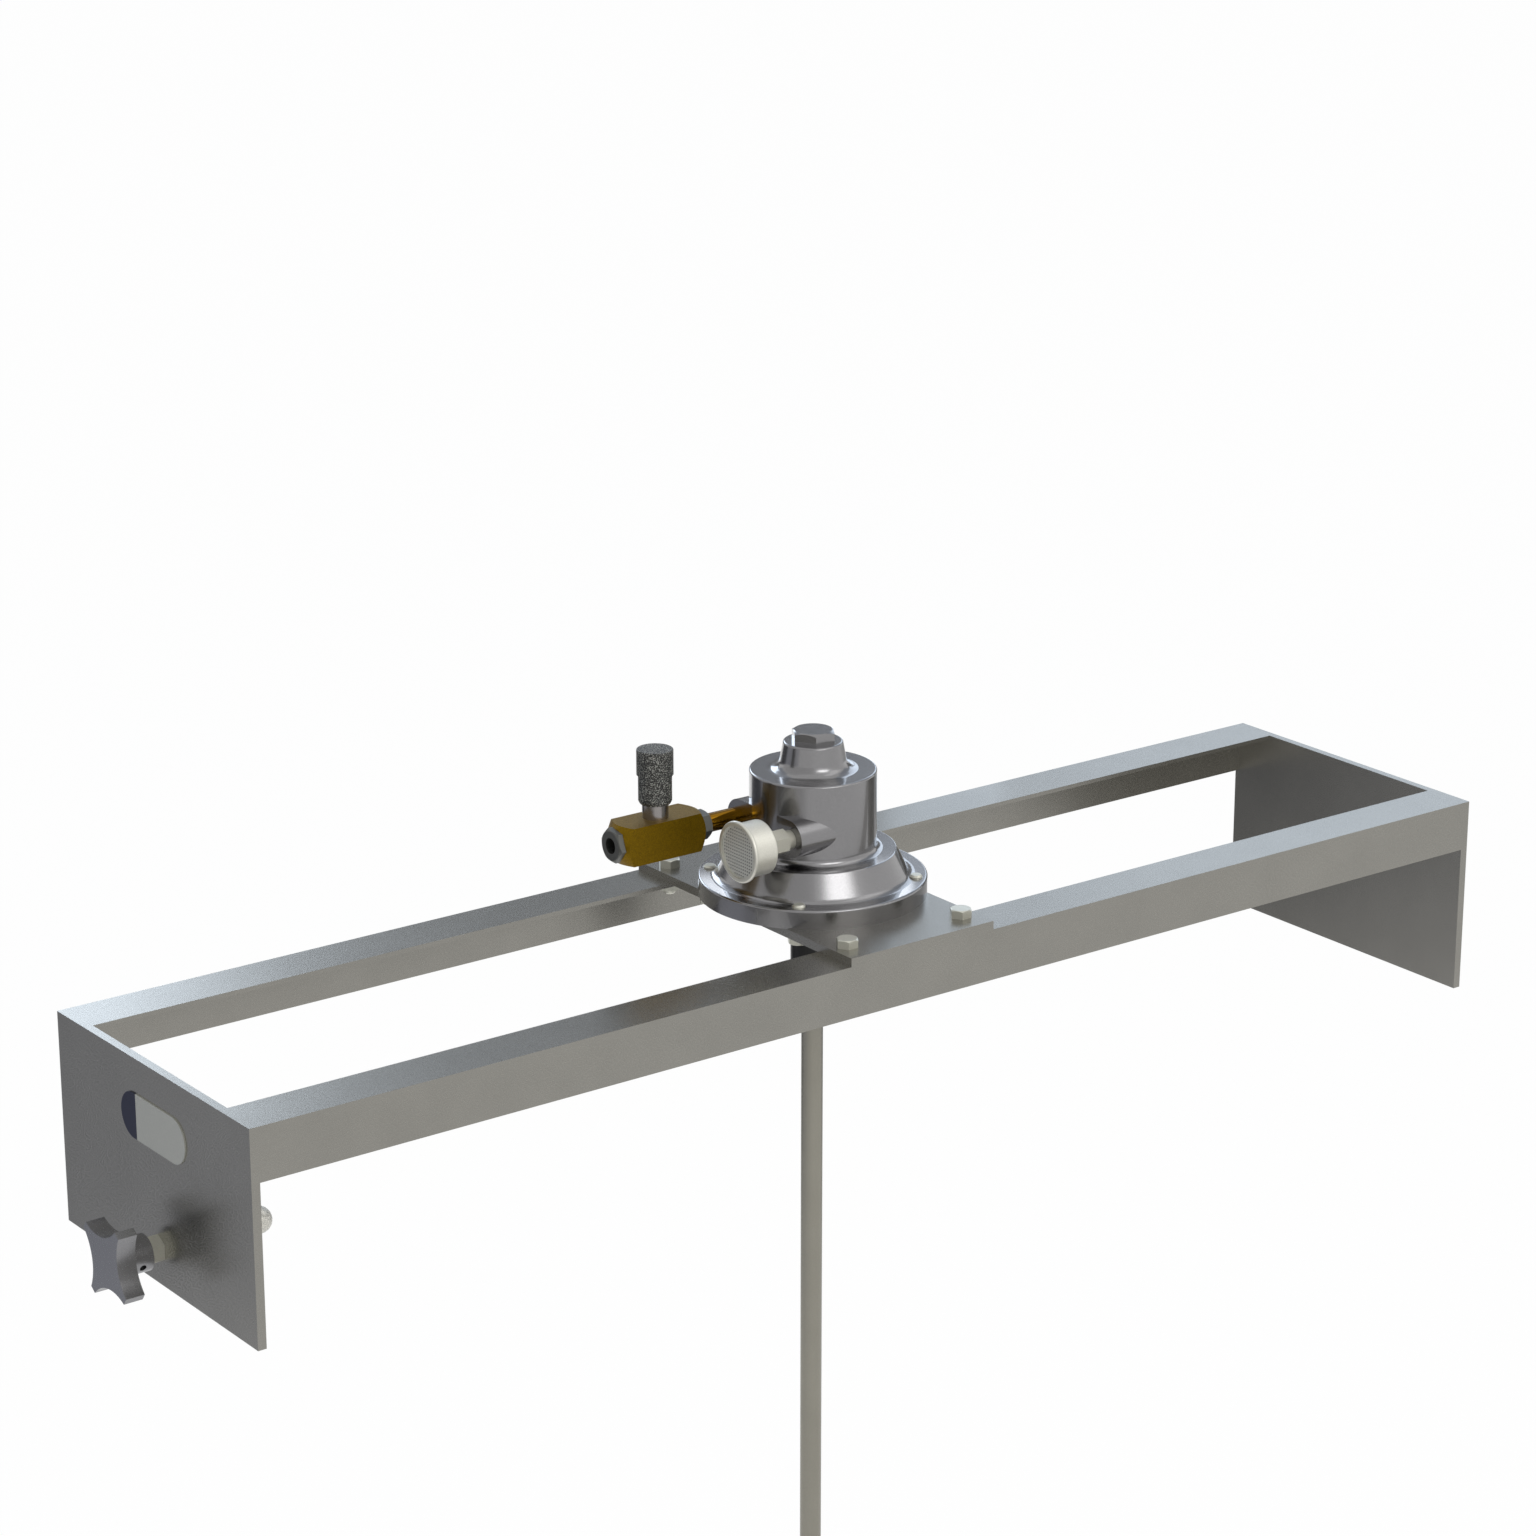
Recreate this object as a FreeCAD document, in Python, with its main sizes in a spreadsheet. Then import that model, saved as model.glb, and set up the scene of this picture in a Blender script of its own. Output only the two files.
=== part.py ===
import FreeCAD, Part
import math
import os

import Sketcher
from FreeCAD import Placement, Rotation, Vector

# An air-driven tank agitator on a bridge that lies across the top of a tote.
# The origin is the middle of the rails' lower edges, where the bridge rests on the tote's rim.
# +X runs along the bridge, +Y to the back rail and +Z up. All sizes are in millimetres.

os.makedirs("parts", exist_ok=True)
doc = FreeCAD.newDocument("TankAgitator")
sheet = doc.addObject("Spreadsheet::Sheet", "Sizes")


class Size(float):
    """A number that also keeps the sheet formula it was worked out with."""

    def __new__(cls, value, formula):
        size = float.__new__(cls, value)
        size.formula = formula
        return size

    def __add__(self, other):
        return worked(self, "+", other, float(self) + float(other))

    def __radd__(self, other):
        return worked(other, "+", self, float(other) + float(self))

    def __sub__(self, other):
        return worked(self, "-", other, float(self) - float(other))

    def __rsub__(self, other):
        return worked(other, "-", self, float(other) - float(self))

    def __mul__(self, other):
        return worked(self, "*", other, float(self) * float(other))

    def __rmul__(self, other):
        return worked(other, "*", self, float(other) * float(self))

    def __truediv__(self, other):
        return worked(self, "/", other, float(self) / float(other))

    def __neg__(self):
        return worked(0.0, "-", self, -float(self))


def formula_of(value):
    return value.formula if isinstance(value, Size) else "%.9g" % value


def worked(left, sign, right, value):
    return Size(value, "(%s %s %s)" % (formula_of(left), sign, formula_of(right)))


def root(value):
    return Size(math.sqrt(value), "sqrt(%s)" % formula_of(value))


def sine(degrees):
    return Size(math.sin(math.radians(degrees)), "sin(%s)" % formula_of(degrees))


def cosine(degrees):
    return Size(math.cos(math.radians(degrees)), "cos(%s)" % formula_of(degrees))


# Fits and clearances that many pieces share
running_gap = 0.05  # radial clearance of a shaft that turns in its bore
seat_gap = 0.02  # radial clearance of a part that is screwed or pressed home
bolt_gap = 0.4  # radial clearance of a bolt in a drilled hole
air_gap = 0.4  # gap between moving faces that do not touch
bevel = 1.0  # small bevels on shafts and sleeves
hexagon_circle = 0.95  # bevel circle of a hexagon against its width across flats

# Bridge
bridge_length = 1079.5  # outside to outside of the end plates
bridge_width = 254.0  # outside to outside of the rails
end_height = 152.4  # height of an end plate
end_thickness = 6.35  # thickness of an end plate
rail_leg = 38.1  # height of a rail's leg
rail_flange = 38.1  # width of a rail's flange
rail_wall = 3.175  # wall of the angle rail
rail_root = 2.5  # inner root radius of the angle rail
weld_leg = 3.0  # leg of the fillet welds under the flanges

# Motor plate and its bolts
deck_edge = 5.95  # motor plate past its bore on either side
deck_thickness = 6.35  # thickness of the motor plate
bolt_radius = 4.7625  # radius of the three-eighths inch bolts
bolt_across = 14.2875  # bolt head and nut across flats
bolt_head = 6.2  # height of a bolt head
nut_height = 8.3  # height of a plate bolt's nut
bolt_end = 3.0  # end of a plate bolt past its nut
motor_bolt_end = 2.2  # end of a motor bolt above the flange
bolt_bevel = 1.2  # bevel at the end of a bolt
rail_bolt_edge = 12.7  # plate bolts in from the motor plate's edges
rail_bolt_inset = 21.2  # plate bolts in from the rails' outer faces

# Badge plate
badge_length = 84.4  # length of the badge plate
badge_height = 32.4  # height of the badge plate
badge_thickness = 1.0  # thickness of the badge plate
badge_drop = 40.85  # middle of the badge below the end plate's top
badge_side = 2.0  # middle of the badge towards the front

# Clamp screw
clamp_margin = 25.4  # clamp screw above the end plate's lower edge
screw_radius = 5.55625  # radius of the clamp screw
clamp_across = 17.4625  # clamp nut across flats
clamp_nut_height = 9.525  # height of the clamp nut
hub_radius = 12.7  # radius of the clamp knob's hub
hub_length = 15.9  # length of the clamp knob's hub
knob_thickness = 13.8  # thickness of the lobed clamp knob
lobe_reach = 31.47  # clamp knob's axis to the flat end of a lobe
scallop_radius = 33.5  # radius of the hollows between the lobes
scallop_reach = 17.5  # clamp knob's axis to the floor of a hollow
knob_twist = 35.7  # turn of the first lobe about the screw in degrees
tip_radius = 9.5  # radius of the swivel tip's dome
tip_barrel = 9.4  # length of the swivel tip behind its dome
tip_reach = 75.2  # dome centre from the outer face of the end plate
tip_pin_radius = 3.6  # radius of the screw's end in the swivel tip
grub_radius = 2.4  # radius of the small set screws
grub_length = 5.5  # length of the small set screws
grub_turn = 115.0  # turn of the hub's set screw off the vertical, degrees

# Motor housing, heights above the motor plate
flange_radius = 82.55  # radius of the motor's face flange
flange_thickness = 14.0  # thickness of the face flange
flange_round = 1.6  # edge radius of the face flange
bolt_circle = 149.225  # diameter of the motor's bolt circle
pilot_radius = 57.15  # radius of the register that enters the plate
pilot_depth = 4.0  # depth of that register
cone_foot = 70.0  # radius of the cone where it meets the flange
cone_foot_round = 6.0  # hollow radius at the cone's foot
cone_top = 60.0  # radius of the cone's upper edge
cone_edge_round = 0.9  # edge radius at the cone's top
ledge_height = 33.65  # height of the ledge above the motor plate
barrel_radius = 45.8  # radius of the motor's barrel
barrel_height = 93.05  # top of the barrel above the motor plate
barrel_foot_round = 4.5  # hollow radius at the barrel's foot
barrel_edge_round = 1.4  # edge radius at the barrel's top
cap_radius = 25.2  # radius of the cap boss at its foot
cap_top_radius = 21.4  # radius of the cap boss at its top
cap_height = 113.65  # top of the cap boss above the motor plate
cap_foot_round = 8.8  # hollow radius at the cap boss's foot
cap_edge_round = 1.5  # edge radius at the cap boss's top
plug_across = 28.575  # top plug across flats
plug_head = 8.2  # height of the top plug's head
plug_radius = 10.3  # radius of the top plug's thread
plug_depth = 16.0  # length of the top plug's thread

# Air ports on the side of the barrel
port_spread = 30.4  # port bosses to the front and the back of the axis
port_height = 56.05  # port bosses above the motor plate
boss_radius = 13.6  # radius of a port boss
boss_face = 43.4  # face of the port bosses from the axis
inlet_shift = 1.0  # inlet port out from the middle of its boss, both ways
pipe_radius = 6.858  # radius of the quarter-inch air pipe
port_depth = 11.0  # threaded depth of an air port
port_drill = 5.2  # radius of the air way behind a port's thread
port_reach = 30.4  # length of a port's air way into the chamber
pipe_bore = 4.6  # radius of the way through the air pipe

# Rotor and its bearings, heights above the motor plate
chamber_radius = 36.0  # radius of the rotor chamber
chamber_shift = 2.5  # chamber axis off the shaft, away from the ports
chamber_floor = 26.0  # top of the drive end plate
chamber_roof = 80.0  # roof of the rotor chamber
rotor_gap = 0.3  # rotor to chamber at the tight side and at both ends
vane_thickness = 3.2  # thickness of a vane
vane_depth = 15.0  # radial depth of a vane
vane_turn = 45.0  # first vane off the X axis, degrees
vane_count = 4
rotor_shaft_radius = 10.0  # shaft radius in the rotor and lower bearing
top_journal_radius = 7.5  # shaft radius in the upper bearing
upper_bearing_radius = 16.0  # outer radius of the upper bearing
upper_bearing_width = 9.0  # width of the upper bearing
lower_bearing_radius = 21.0  # outer radius of the lower bearing
lower_bearing_width = 12.0  # width of the lower bearing
seal_radius = 15.0  # outer radius of the shaft seal
seal_width = 6.0  # width of the shaft seal
seal_wall = 1.5  # wall of the shaft seal's shell and lip
shield_inset = 0.5  # bearing shields below the rings' faces
plate_flange_radius = 50.0  # radius of the drive end plate's flange
plate_flange = 9.0  # thickness of the drive end plate's flange
cap_screw_circle = 44.5  # radius of the end plate's screw circle
cap_screw_radius = 2.5  # radius of the end plate's screws
cap_screw_head = 4.25  # radius of those screws' heads
cap_socket_radius = 1.375  # radius of their sockets
cap_socket_depth = 3.0  # depth of their sockets
cap_screw_turn = 30.0  # first of those screws off the X axis, degrees
cap_screw_count = 6

# Drive shaft, coupling and mixer shaft
shaft_radius = 7.9375  # radius of the five-eighths inch shafts
output_length = 52.3  # motor shaft below the motor's face
key_width = 4.7625  # width and height of the motor shaft's key
key_length = 34.0  # length of the key
coupling_radius = 15.875  # radius of the rigid coupling
coupling_length = 76.2  # length of the rigid coupling
coupling_screw_radius = 3.175  # radius of the coupling's set screws
coupling_screw_inset = 14.0  # outer set screws from the coupling's ends
coupling_screw_pitch = 14.0  # spacing of two set screws on one shaft
shaft_meet = 1.1  # gap between the shaft ends in the coupling
mixer_length = 914.4  # length of the mixer shaft

# Folding impeller
impeller_hub_radius = 17.0  # radius of the impeller hub
impeller_hub_length = 46.0  # length of the impeller hub
hinge_reach = 25.0  # blade hinges from the shaft's axis
hinge_height = 8.0  # blade hinges above the hub's lower face
lug_radius = 6.5  # radius of the hub's hinge lugs and blade knuckles
lug_thickness = 5.0  # thickness of each hinge lug
knuckle_width = 10.0  # width of a blade's knuckle
pin_radius = 3.0  # radius of the hinge pins
blade_reach = 78.0  # hinge to the end of a blade
blade_width = 34.0  # width of a blade
blade_thickness = 3.0  # thickness of a blade
blade_pitch = 30.0  # pitch of a blade in degrees
blade_neck = 16.0  # hinge to the start of a blade's face
blade_lap = 6.0  # overlap of a blade's neck with its face
blade_round = 8.0  # radius of a blade's lower corners
shaft_foot_out = 2.0  # shaft end below the impeller hub
hub_top_bevel = 3.0  # bevel at the impeller hub's top
hub_screw_rise = 33.0  # impeller's set screw above the hub's lower face
pin_stand_out = 1.0  # hinge pin past the outside of its lugs
first_blade = 90.0  # first blade off the X axis, degrees
blade_count = 3

# Speed control valve, placed from the inlet port's axis
valve_side = 28.2  # height and depth of the square valve body
valve_reach = 114.95  # middle of the valve body from the motor's axis
valve_length = 69.7  # length of the valve body between its end faces
valve_end_radius = 11.5  # radius of the valve body's end faces
valve_cone = 35.2  # slope of the turned ends against the end face, degrees
stem_side = 0.75  # valve stem from the middle of the body, away from the motor
inlet_across = 22.225  # inlet bushing across flats
inlet_hex_length = 4.6  # length of the inlet bushing's hexagon
outlet_across = 19.05  # outlet bushing across flats
outlet_hex_length = 7.7  # length of the outlet bushing's hexagon
bushing_radius = 8.6  # thread radius of the bushings in the body
bushing_depth = 11.0  # thread length of the bushings in the body
air_inlet_radius = 5.75  # radius of the air inlet's threaded hole
hex_twist = -20.5  # turn of the bushings' corners off the vertical, degrees
way_radius = 3.5  # radius of the air ways inside the valve body
way_offset = 4.2  # air ways above and below the valve's axis
seat_radius = 2.0  # radius of the needle's seat
needle_radius = 2.4  # radius of the needle
needle_point = 1.0  # radius of the needle's point
needle_reach = 2.0  # needle's point below the seat
needle_slope = 0.48  # taper of the needle's point, radius over length
stem_radius = 3.0  # radius of the knob's stem
stem_start = 11.0  # valve axis to the lower end of the stem
bonnet_radius = 9.45  # radius of the bonnet
bonnet_height = 19.5  # bonnet above the valve body
bonnet_thread = 6.6  # radius of the bonnet's thread in the body
bonnet_depth = 7.0  # length of the bonnet's thread in the body
seal_ring_radius = 5.4  # outer radius of the stem's seal ring
seal_ring_width = 3.0  # width of the stem's seal ring
knob_clear = 10.5  # knob's lower edge above the valve body
knob_step = 31.5  # step of the knob above the valve body
knob_top = 50.2  # top of the knob above the valve body
knob_radius = 12.0  # radius of the knob's skirt
knob_grip_radius = 13.1  # radius of the knob's grip
knob_edge = 1.0  # edge radius of the knob's top
knob_bevel = 2.0  # bevel at the knob's lower edge
knob_wall = 1.9  # wall of the knob's skirt
knob_web = 29.0  # roof of the knob's hollow above the valve body
knob_cap = 7.0  # solid top of the knob above the stem's hole
knob_screw_rise = 5.0  # knob's set screw above the hollow's roof

# Exhaust muffler, placed from the exhaust port's axis
muffler_rim_radius = 22.2  # radius of the muffler's rolled rim
rim_round = 1.4  # edge radius of the rolled rim
muffler_rim_width = 3.2  # width of the rolled rim
muffler_radius = 19.6  # radius of the muffler's can
muffler_length = 21.8  # length of the can with its rim
muffler_back = 24.7  # back of the can from the boss's face
muffler_round = 1.5  # edge radius at the can's back
can_wall = 1.0  # sheet thickness of the can
screen_recess = 1.6  # screen behind the rim's front
lip_radius = 19.1  # inner radius of the rim in front of the screen
screen_radius = 20.0  # radius of the screen in its groove
screen_thickness = 1.0  # thickness of the screen
muffler_across = 16.4  # muffler base across flats
muffler_hex_length = 19.1  # length of the base's hexagon
muffler_way = 4.0  # radius of the air way in the base
base_flare = 0.5  # end of the base's neck past the can's inner face

# Every plain number above gets a row in the sheet, and from here on its name stands for that cell.
driving_sizes = {name: value for name, value in globals().items() if isinstance(value, float)}
for row, (alias, value) in enumerate(driving_sizes.items(), start=1):
    sheet.set("A%d" % row, alias)
    sheet.set("B%d" % row, str(value))
    sheet.setAlias("B%d" % row, alias)
globals().update((alias, Size(value, "Sizes." + alias)) for alias, value in driving_sizes.items())

# Places worked out from the driving sizes
deck_top = rail_leg + deck_thickness
half_length = bridge_length / 2
half_width = bridge_width / 2
half_deck = pilot_radius + bolt_gap + deck_edge
rail_bolt_x = half_deck - rail_bolt_edge
rail_bolt_y = half_width - rail_bolt_inset
clamp_z = rail_leg - end_height + clamp_margin
outer_face = -half_length
port_z = deck_top + port_height
inlet_y = port_spread + inlet_shift
inlet_z = port_z + inlet_shift
coupling_middle = deck_top - output_length - shaft_meet / 2
coupling_top = coupling_middle + coupling_length / 2
mixer_top = coupling_middle - shaft_meet / 2
mixer_bottom = mixer_top - mixer_length

UP = Rotation()
DOWN = Rotation(Vector(1, 0, 0), 180)
ALONG_X = Rotation(Vector(0, 1, 0), 90)
AGAINST_X = Rotation(Vector(0, 1, 0), -90)
TO_FRONT = Rotation(Vector(1, 0, 0), 90)


def bind(thing, name, value):
    if isinstance(value, Size):
        thing.setExpression(name, value.formula)


def place(thing, x=0.0, y=0.0, z=0.0, turn=UP):
    """Put a thing at x, y, z, bound to the sheet, with a fixed turn."""
    thing.Placement = Placement(Vector(x, y, z), turn)
    bind(thing, "Placement.Base.x", x)
    bind(thing, "Placement.Base.y", y)
    bind(thing, "Placement.Base.z", z)
    return thing


def turned_about(degrees, out, aside):
    """A point out along a ray at an angle and aside from it, as two coordinates."""
    return out * cosine(degrees) - aside * sine(degrees), out * sine(degrees) + aside * cosine(degrees)


def solid(kind, name, place_at, **sizes):
    """One primitive solid whose sizes and place are bound to the sheet."""
    thing = doc.addObject(kind, name)
    for prop, value in sizes.items():
        setattr(thing, prop, float(value))
        bind(thing, prop, value)
    return place(thing, *place_at)


def block(name, x, y, z):
    """A box between two values on each axis."""
    lengths = {"Length": x[1] - x[0], "Width": y[1] - y[0], "Height": z[1] - z[0]}
    return solid("Part::Box", name, (x[0], y[0], z[0]), **lengths)


def rod(name, radius, length, x=0.0, y=0.0, z=0.0, turn=UP):
    return solid("Part::Cylinder", name, (x, y, z, turn), Radius=radius, Height=length)


def joined(name, *pieces):
    """Fuse pieces into one solid."""
    fuse = doc.addObject("Part::MultiFuse", name)
    fuse.Shapes = list(pieces)
    return fuse


def group(name, pieces):
    """Separate solids kept as one group."""
    compound = doc.addObject("Part::Compound", name)
    compound.Links = list(pieces)
    return compound


def cut(name, base, *tools):
    """Cut one or more tools out of a base."""
    result = doc.addObject("Part::Cut", name)
    result.Base = base
    result.Tool = tools[0] if len(tools) == 1 else group(name + "_tools", tools)
    return result


def common(name, base, tool):
    result = doc.addObject("Part::Common", name)
    result.Base = base
    result.Tool = tool
    return result


def hexagon(name, across, length, x, y, z, turn=UP):
    """A hexagonal prism with a corner on its own X axis."""
    sizes = {"Polygon": 6, "Circumradius": across / math.sqrt(3), "Height": length}
    prism = doc.addObject("Part::Prism", name)
    prism.Polygon = 6
    for prop in ("Circumradius", "Height"):
        setattr(prism, prop, float(sizes[prop]))
        bind(prism, prop, sizes[prop])
    return place(prism, x, y, z, turn)


def bevelled_hexagon(name, across, length, x, y, z, turn=UP):
    """A hexagon whose far end is turned to a bevel of 30 degrees, as on a bolt head."""
    prism = hexagon(name + "_prism", across, length, x, y, z, turn)
    flat = across * hexagon_circle / 2
    foot = flat + length * math.sqrt(3)
    cone = solid("Part::Cone", name + "_bevel", (x, y, z, turn), Radius1=foot, Radius2=flat, Height=length)
    return common(name, prism, cone)


def outline_sketch(body, name, role, corners, offset=0.0):
    """A closed sketch through corners, each bound to the sheet, on one of the body's planes."""
    sketch = body.newObject("Sketcher::SketchObject", name)
    plane = next(feature for feature in body.Origin.OriginFeatures if feature.Role == role)
    sketch.AttachmentSupport = (plane, [""])
    sketch.MapMode = "FlatFace"
    sketch.AttachmentOffset = Placement(Vector(0, 0, offset), UP)
    bind(sketch, "AttachmentOffset.Base.z", offset)
    points = [Vector(float(u), float(v), 0) for u, v in corners]
    ends = points[1:] + points[:1]
    sketch.addGeometry([Part.LineSegment(a, b) for a, b in zip(points, ends)], False)
    count = len(corners)
    for index in range(count):
        sketch.addConstraint(Sketcher.Constraint("Coincident", index, 2, (index + 1) % count, 1))
    for index, corner in enumerate(corners):
        for kind, axis_line, value in (("DistanceX", -2, corner[0]), ("DistanceY", -1, corner[1])):
            if float(value) == 0.0:
                sketch.addConstraint(Sketcher.Constraint("PointOnObject", index, 1, axis_line))
                continue
            number = sketch.addConstraint(Sketcher.Constraint(kind, -1, 1, index, 1, float(value)))
            if isinstance(value, Size):
                sketch.setExpression("Constraints[%d]" % number, value.formula)
    return sketch


def turned(name, corners, x=0.0, y=0.0, z=0.0, turn=UP):
    """A piece turned about its own Z axis from corners of (radius, height)."""
    body = doc.addObject("PartDesign::Body", name)
    sketch = outline_sketch(body, name + "_outline", "XZ_Plane", corners)
    spin = body.newObject("PartDesign::Revolution", name + "_turned")
    spin.Profile = sketch
    spin.ReferenceAxis = (sketch, ["V_Axis"])
    spin.Angle = 360
    return place(body, x, y, z, turn)


def padded(name, role, corners, length, x=0.0, y=0.0, z=0.0, turn=UP):
    """A flat outline given a thickness to both sides of its plane."""
    body = doc.addObject("PartDesign::Body", name)
    sketch = outline_sketch(body, name + "_outline", role, corners)
    pad = body.newObject("PartDesign::Pad", name + "_pad")
    pad.Profile = sketch
    pad.Length = float(length)
    bind(pad, "Length", length)
    pad.Midplane = True
    return place(body, x, y, z, turn)


def round_edges(body, name, radius, chosen):
    """Round the body's edges that a test picks."""
    doc.recompute()
    base = body.Tip
    picked = ["Edge%d" % number for number, edge in enumerate(base.Shape.Edges, 1) if chosen(edge)]
    fillet = body.newObject("PartDesign::Fillet", name)
    fillet.Base = (base, picked)
    fillet.Radius = float(radius)
    bind(fillet, "Radius", radius)
    return fillet


def ring_at(radius, height):
    """A test for the full circle of a radius about Z at a height."""

    def chosen(edge):
        curve = edge.Curve
        return (
            isinstance(curve, Part.Circle)
            and abs(curve.Radius - float(radius)) < 0.01
            and abs(curve.Center.z - float(height)) < 0.01
        )

    return chosen


nodes = []


def keep(thing, label):
    """Name a finished sub-part after its node."""
    thing.Label = label
    nodes.append(thing)
    return thing


# Front and back rails
# Two lengths of equal angle with the leg outside and the flange on top, pointing inwards.
# Each carries two of the motor plate's bolts.
rail_span = bridge_length - 2 * end_thickness


def rail(label, side):
    corners = [
        (half_width, 0.0),
        (half_width, rail_leg),
        (half_width - rail_flange, rail_leg),
        (half_width - rail_flange, rail_leg - rail_wall),
        (half_width - rail_wall, rail_leg - rail_wall),
        (half_width - rail_wall, 0.0),
    ]
    corners = [(side * y, z) for y, z in corners]
    angle = padded(label + "_angle", "YZ_Plane", corners, rail_span)
    inner = (side * float(half_width - rail_wall), float(rail_leg - rail_wall))

    def root_edge(edge):
        ends = [vertex.Point for vertex in edge.Vertexes]
        return len(ends) == 2 and all(abs(p.y - inner[0]) + abs(p.z - inner[1]) < 0.01 for p in ends)

    round_edges(angle, label + "_root", rail_root, root_edge)
    holes = [
        rod("%s_hole_%d" % (label, end), bolt_radius + bolt_gap, rail_leg, end * rail_bolt_x,
            side * rail_bolt_y, rail_leg / 2)
        for end in (-1, 1)
    ]
    return keep(cut(label, angle, *holes), label)


rail("front_rail", -1)
rail("rear_rail", 1)

# End plates
# Flat plates that close the bridge and hang down outside the tote. The left one is drilled for the
# clamp screw.
end_bottom = rail_leg - end_height


def end_plate(name, low, high):
    return block(name, (low, high), (-half_width, half_width), (end_bottom, rail_leg))


left_blank = end_plate("left_blank", -half_length, -half_length + end_thickness)
screw_hole = rod("screw_hole", screw_radius + bolt_gap, 3 * end_thickness, -half_length - end_thickness,
                 0.0, clamp_z, ALONG_X)
keep(cut("left_end", left_blank, screw_hole), "left_end_plate")
keep(end_plate("right_end", half_length - end_thickness, half_length), "right_end_plate")

# Frame welds
# Short fillet welds under the flanges, where the rails butt against the end plates.
weld_inset = rail_root + weld_leg


def weld(name, end, side):
    corners = [(0.0, 0.0), (-end * weld_leg, 0.0), (0.0, -weld_leg)]
    run = rail_flange - rail_wall - 2 * weld_inset
    middle = side * (half_width - rail_wall - weld_inset - run / 2)
    return padded(name, "XZ_Plane", corners, run, end * (half_length - end_thickness), middle,
                  rail_leg - rail_wall)


welds = [weld("weld_%d_%d" % (end, side), end, side) for end in (-1, 1) for side in (-1, 1)]
keep(group("frame_welds", welds), "frame_welds")

# Motor plate
# A flat plate across the two rails, bored for the motor's register and drilled for its bolts.
deck = block("deck", (-half_deck, half_deck), (-half_width, half_width), (rail_leg, deck_top))
mount_offset = bolt_circle / 2 / math.sqrt(2)
deck_tools = [
    rod("deck_bore", pilot_radius + bolt_gap, 3 * deck_thickness, 0.0, 0.0, rail_leg - deck_thickness)
]
for end in (-1, 1):
    for side in (-1, 1):
        for use, x, y in (("rail", rail_bolt_x, rail_bolt_y), ("motor", mount_offset, mount_offset)):
            deck_tools.append(
                rod("deck_%s_%d_%d" % (use, end, side), bolt_radius + bolt_gap, 3 * deck_thickness,
                    end * x, side * y, rail_leg - deck_thickness)
            )
keep(cut("motor_plate", deck, *deck_tools), "motor_plate")


def bolt(name, x, y, seat, grip, head_turn):
    """A hex bolt with its head on a seat and a bevelled shank that reaches past it by its grip."""
    head = bevelled_hexagon(name + "_head", bolt_across, bolt_head, x, y, seat, head_turn)
    corners = [
        (0.0, 0.0),
        (bolt_radius, 0.0),
        (bolt_radius, grip - bolt_bevel),
        (bolt_radius - bolt_bevel, grip),
        (0.0, grip),
    ]
    shank = turned(name + "_shank", corners, x, y, seat, DOWN if head_turn is UP else UP)
    return joined(name, head, shank)


# Plate bolts and nuts
# Hex bolts dropped through the plate and the rails' flanges, with their nuts below.
plate_grip = deck_thickness + rail_wall + nut_height + bolt_end
plate_bolts = []
plate_nuts = []
for end in (-1, 1):
    for side in (-1, 1):
        spot = (end * rail_bolt_x, side * rail_bolt_y)
        tag = "%d_%d" % (end, side)
        plate_bolts.append(bolt("plate_bolt_" + tag, spot[0], spot[1], deck_top, plate_grip, UP))
        nut = bevelled_hexagon("plate_nut_blank_" + tag, bolt_across, nut_height, spot[0], spot[1],
                               rail_leg - rail_wall, DOWN)
        hole = rod("plate_nut_hole_" + tag, bolt_radius + seat_gap, 3 * nut_height, spot[0], spot[1],
                   rail_leg - rail_wall - 2 * nut_height)
        plate_nuts.append(cut("plate_nut_" + tag, nut, hole))
keep(group("plate_bolts", plate_bolts), "plate_bolts")
keep(group("plate_nuts", plate_nuts), "plate_nuts")

# Motor bolts
# Four bolts from below, through the plate into the motor's tapped flange; their ends show on top.
motor_grip = deck_thickness + flange_thickness + motor_bolt_end
motor_bolts = [
    bolt("motor_bolt_%d_%d" % (end, side), end * mount_offset, side * mount_offset, rail_leg, motor_grip,
         DOWN)
    for end in (-1, 1)
    for side in (-1, 1)
]
keep(group("motor_bolts", motor_bolts), "motor_bolts")

# Badge plate
# A bare rounded plate on the outer face of the left end plate.
badge_z = rail_leg - badge_drop
badge_straight = badge_length / 2 - badge_height / 2
badge_pieces = [
    block("badge_middle", (outer_face - badge_thickness, outer_face),
          (-badge_side - badge_straight, -badge_side + badge_straight),
          (badge_z - badge_height / 2, badge_z + badge_height / 2))
]
for side in (-1, 1):
    badge_pieces.append(
        rod("badge_end_%d" % side, badge_height / 2, badge_thickness, outer_face - badge_thickness,
            side * badge_straight - badge_side, badge_z, ALONG_X)
    )
keep(joined("badge_plate", *badge_pieces), "badge_plate")

# Clamp nut
# A hex nut welded to the outer face of the left end plate, one corner up.
clamp_blank = bevelled_hexagon("clamp_blank", clamp_across, clamp_nut_height, outer_face, 0.0, clamp_z,
                               AGAINST_X)
clamp_bore = rod("clamp_bore", screw_radius + running_gap, 3 * clamp_nut_height,
                 outer_face - 2 * clamp_nut_height, 0.0, clamp_z, ALONG_X)
keep(cut("clamp_nut", clamp_blank, clamp_bore), "clamp_nut")

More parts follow.
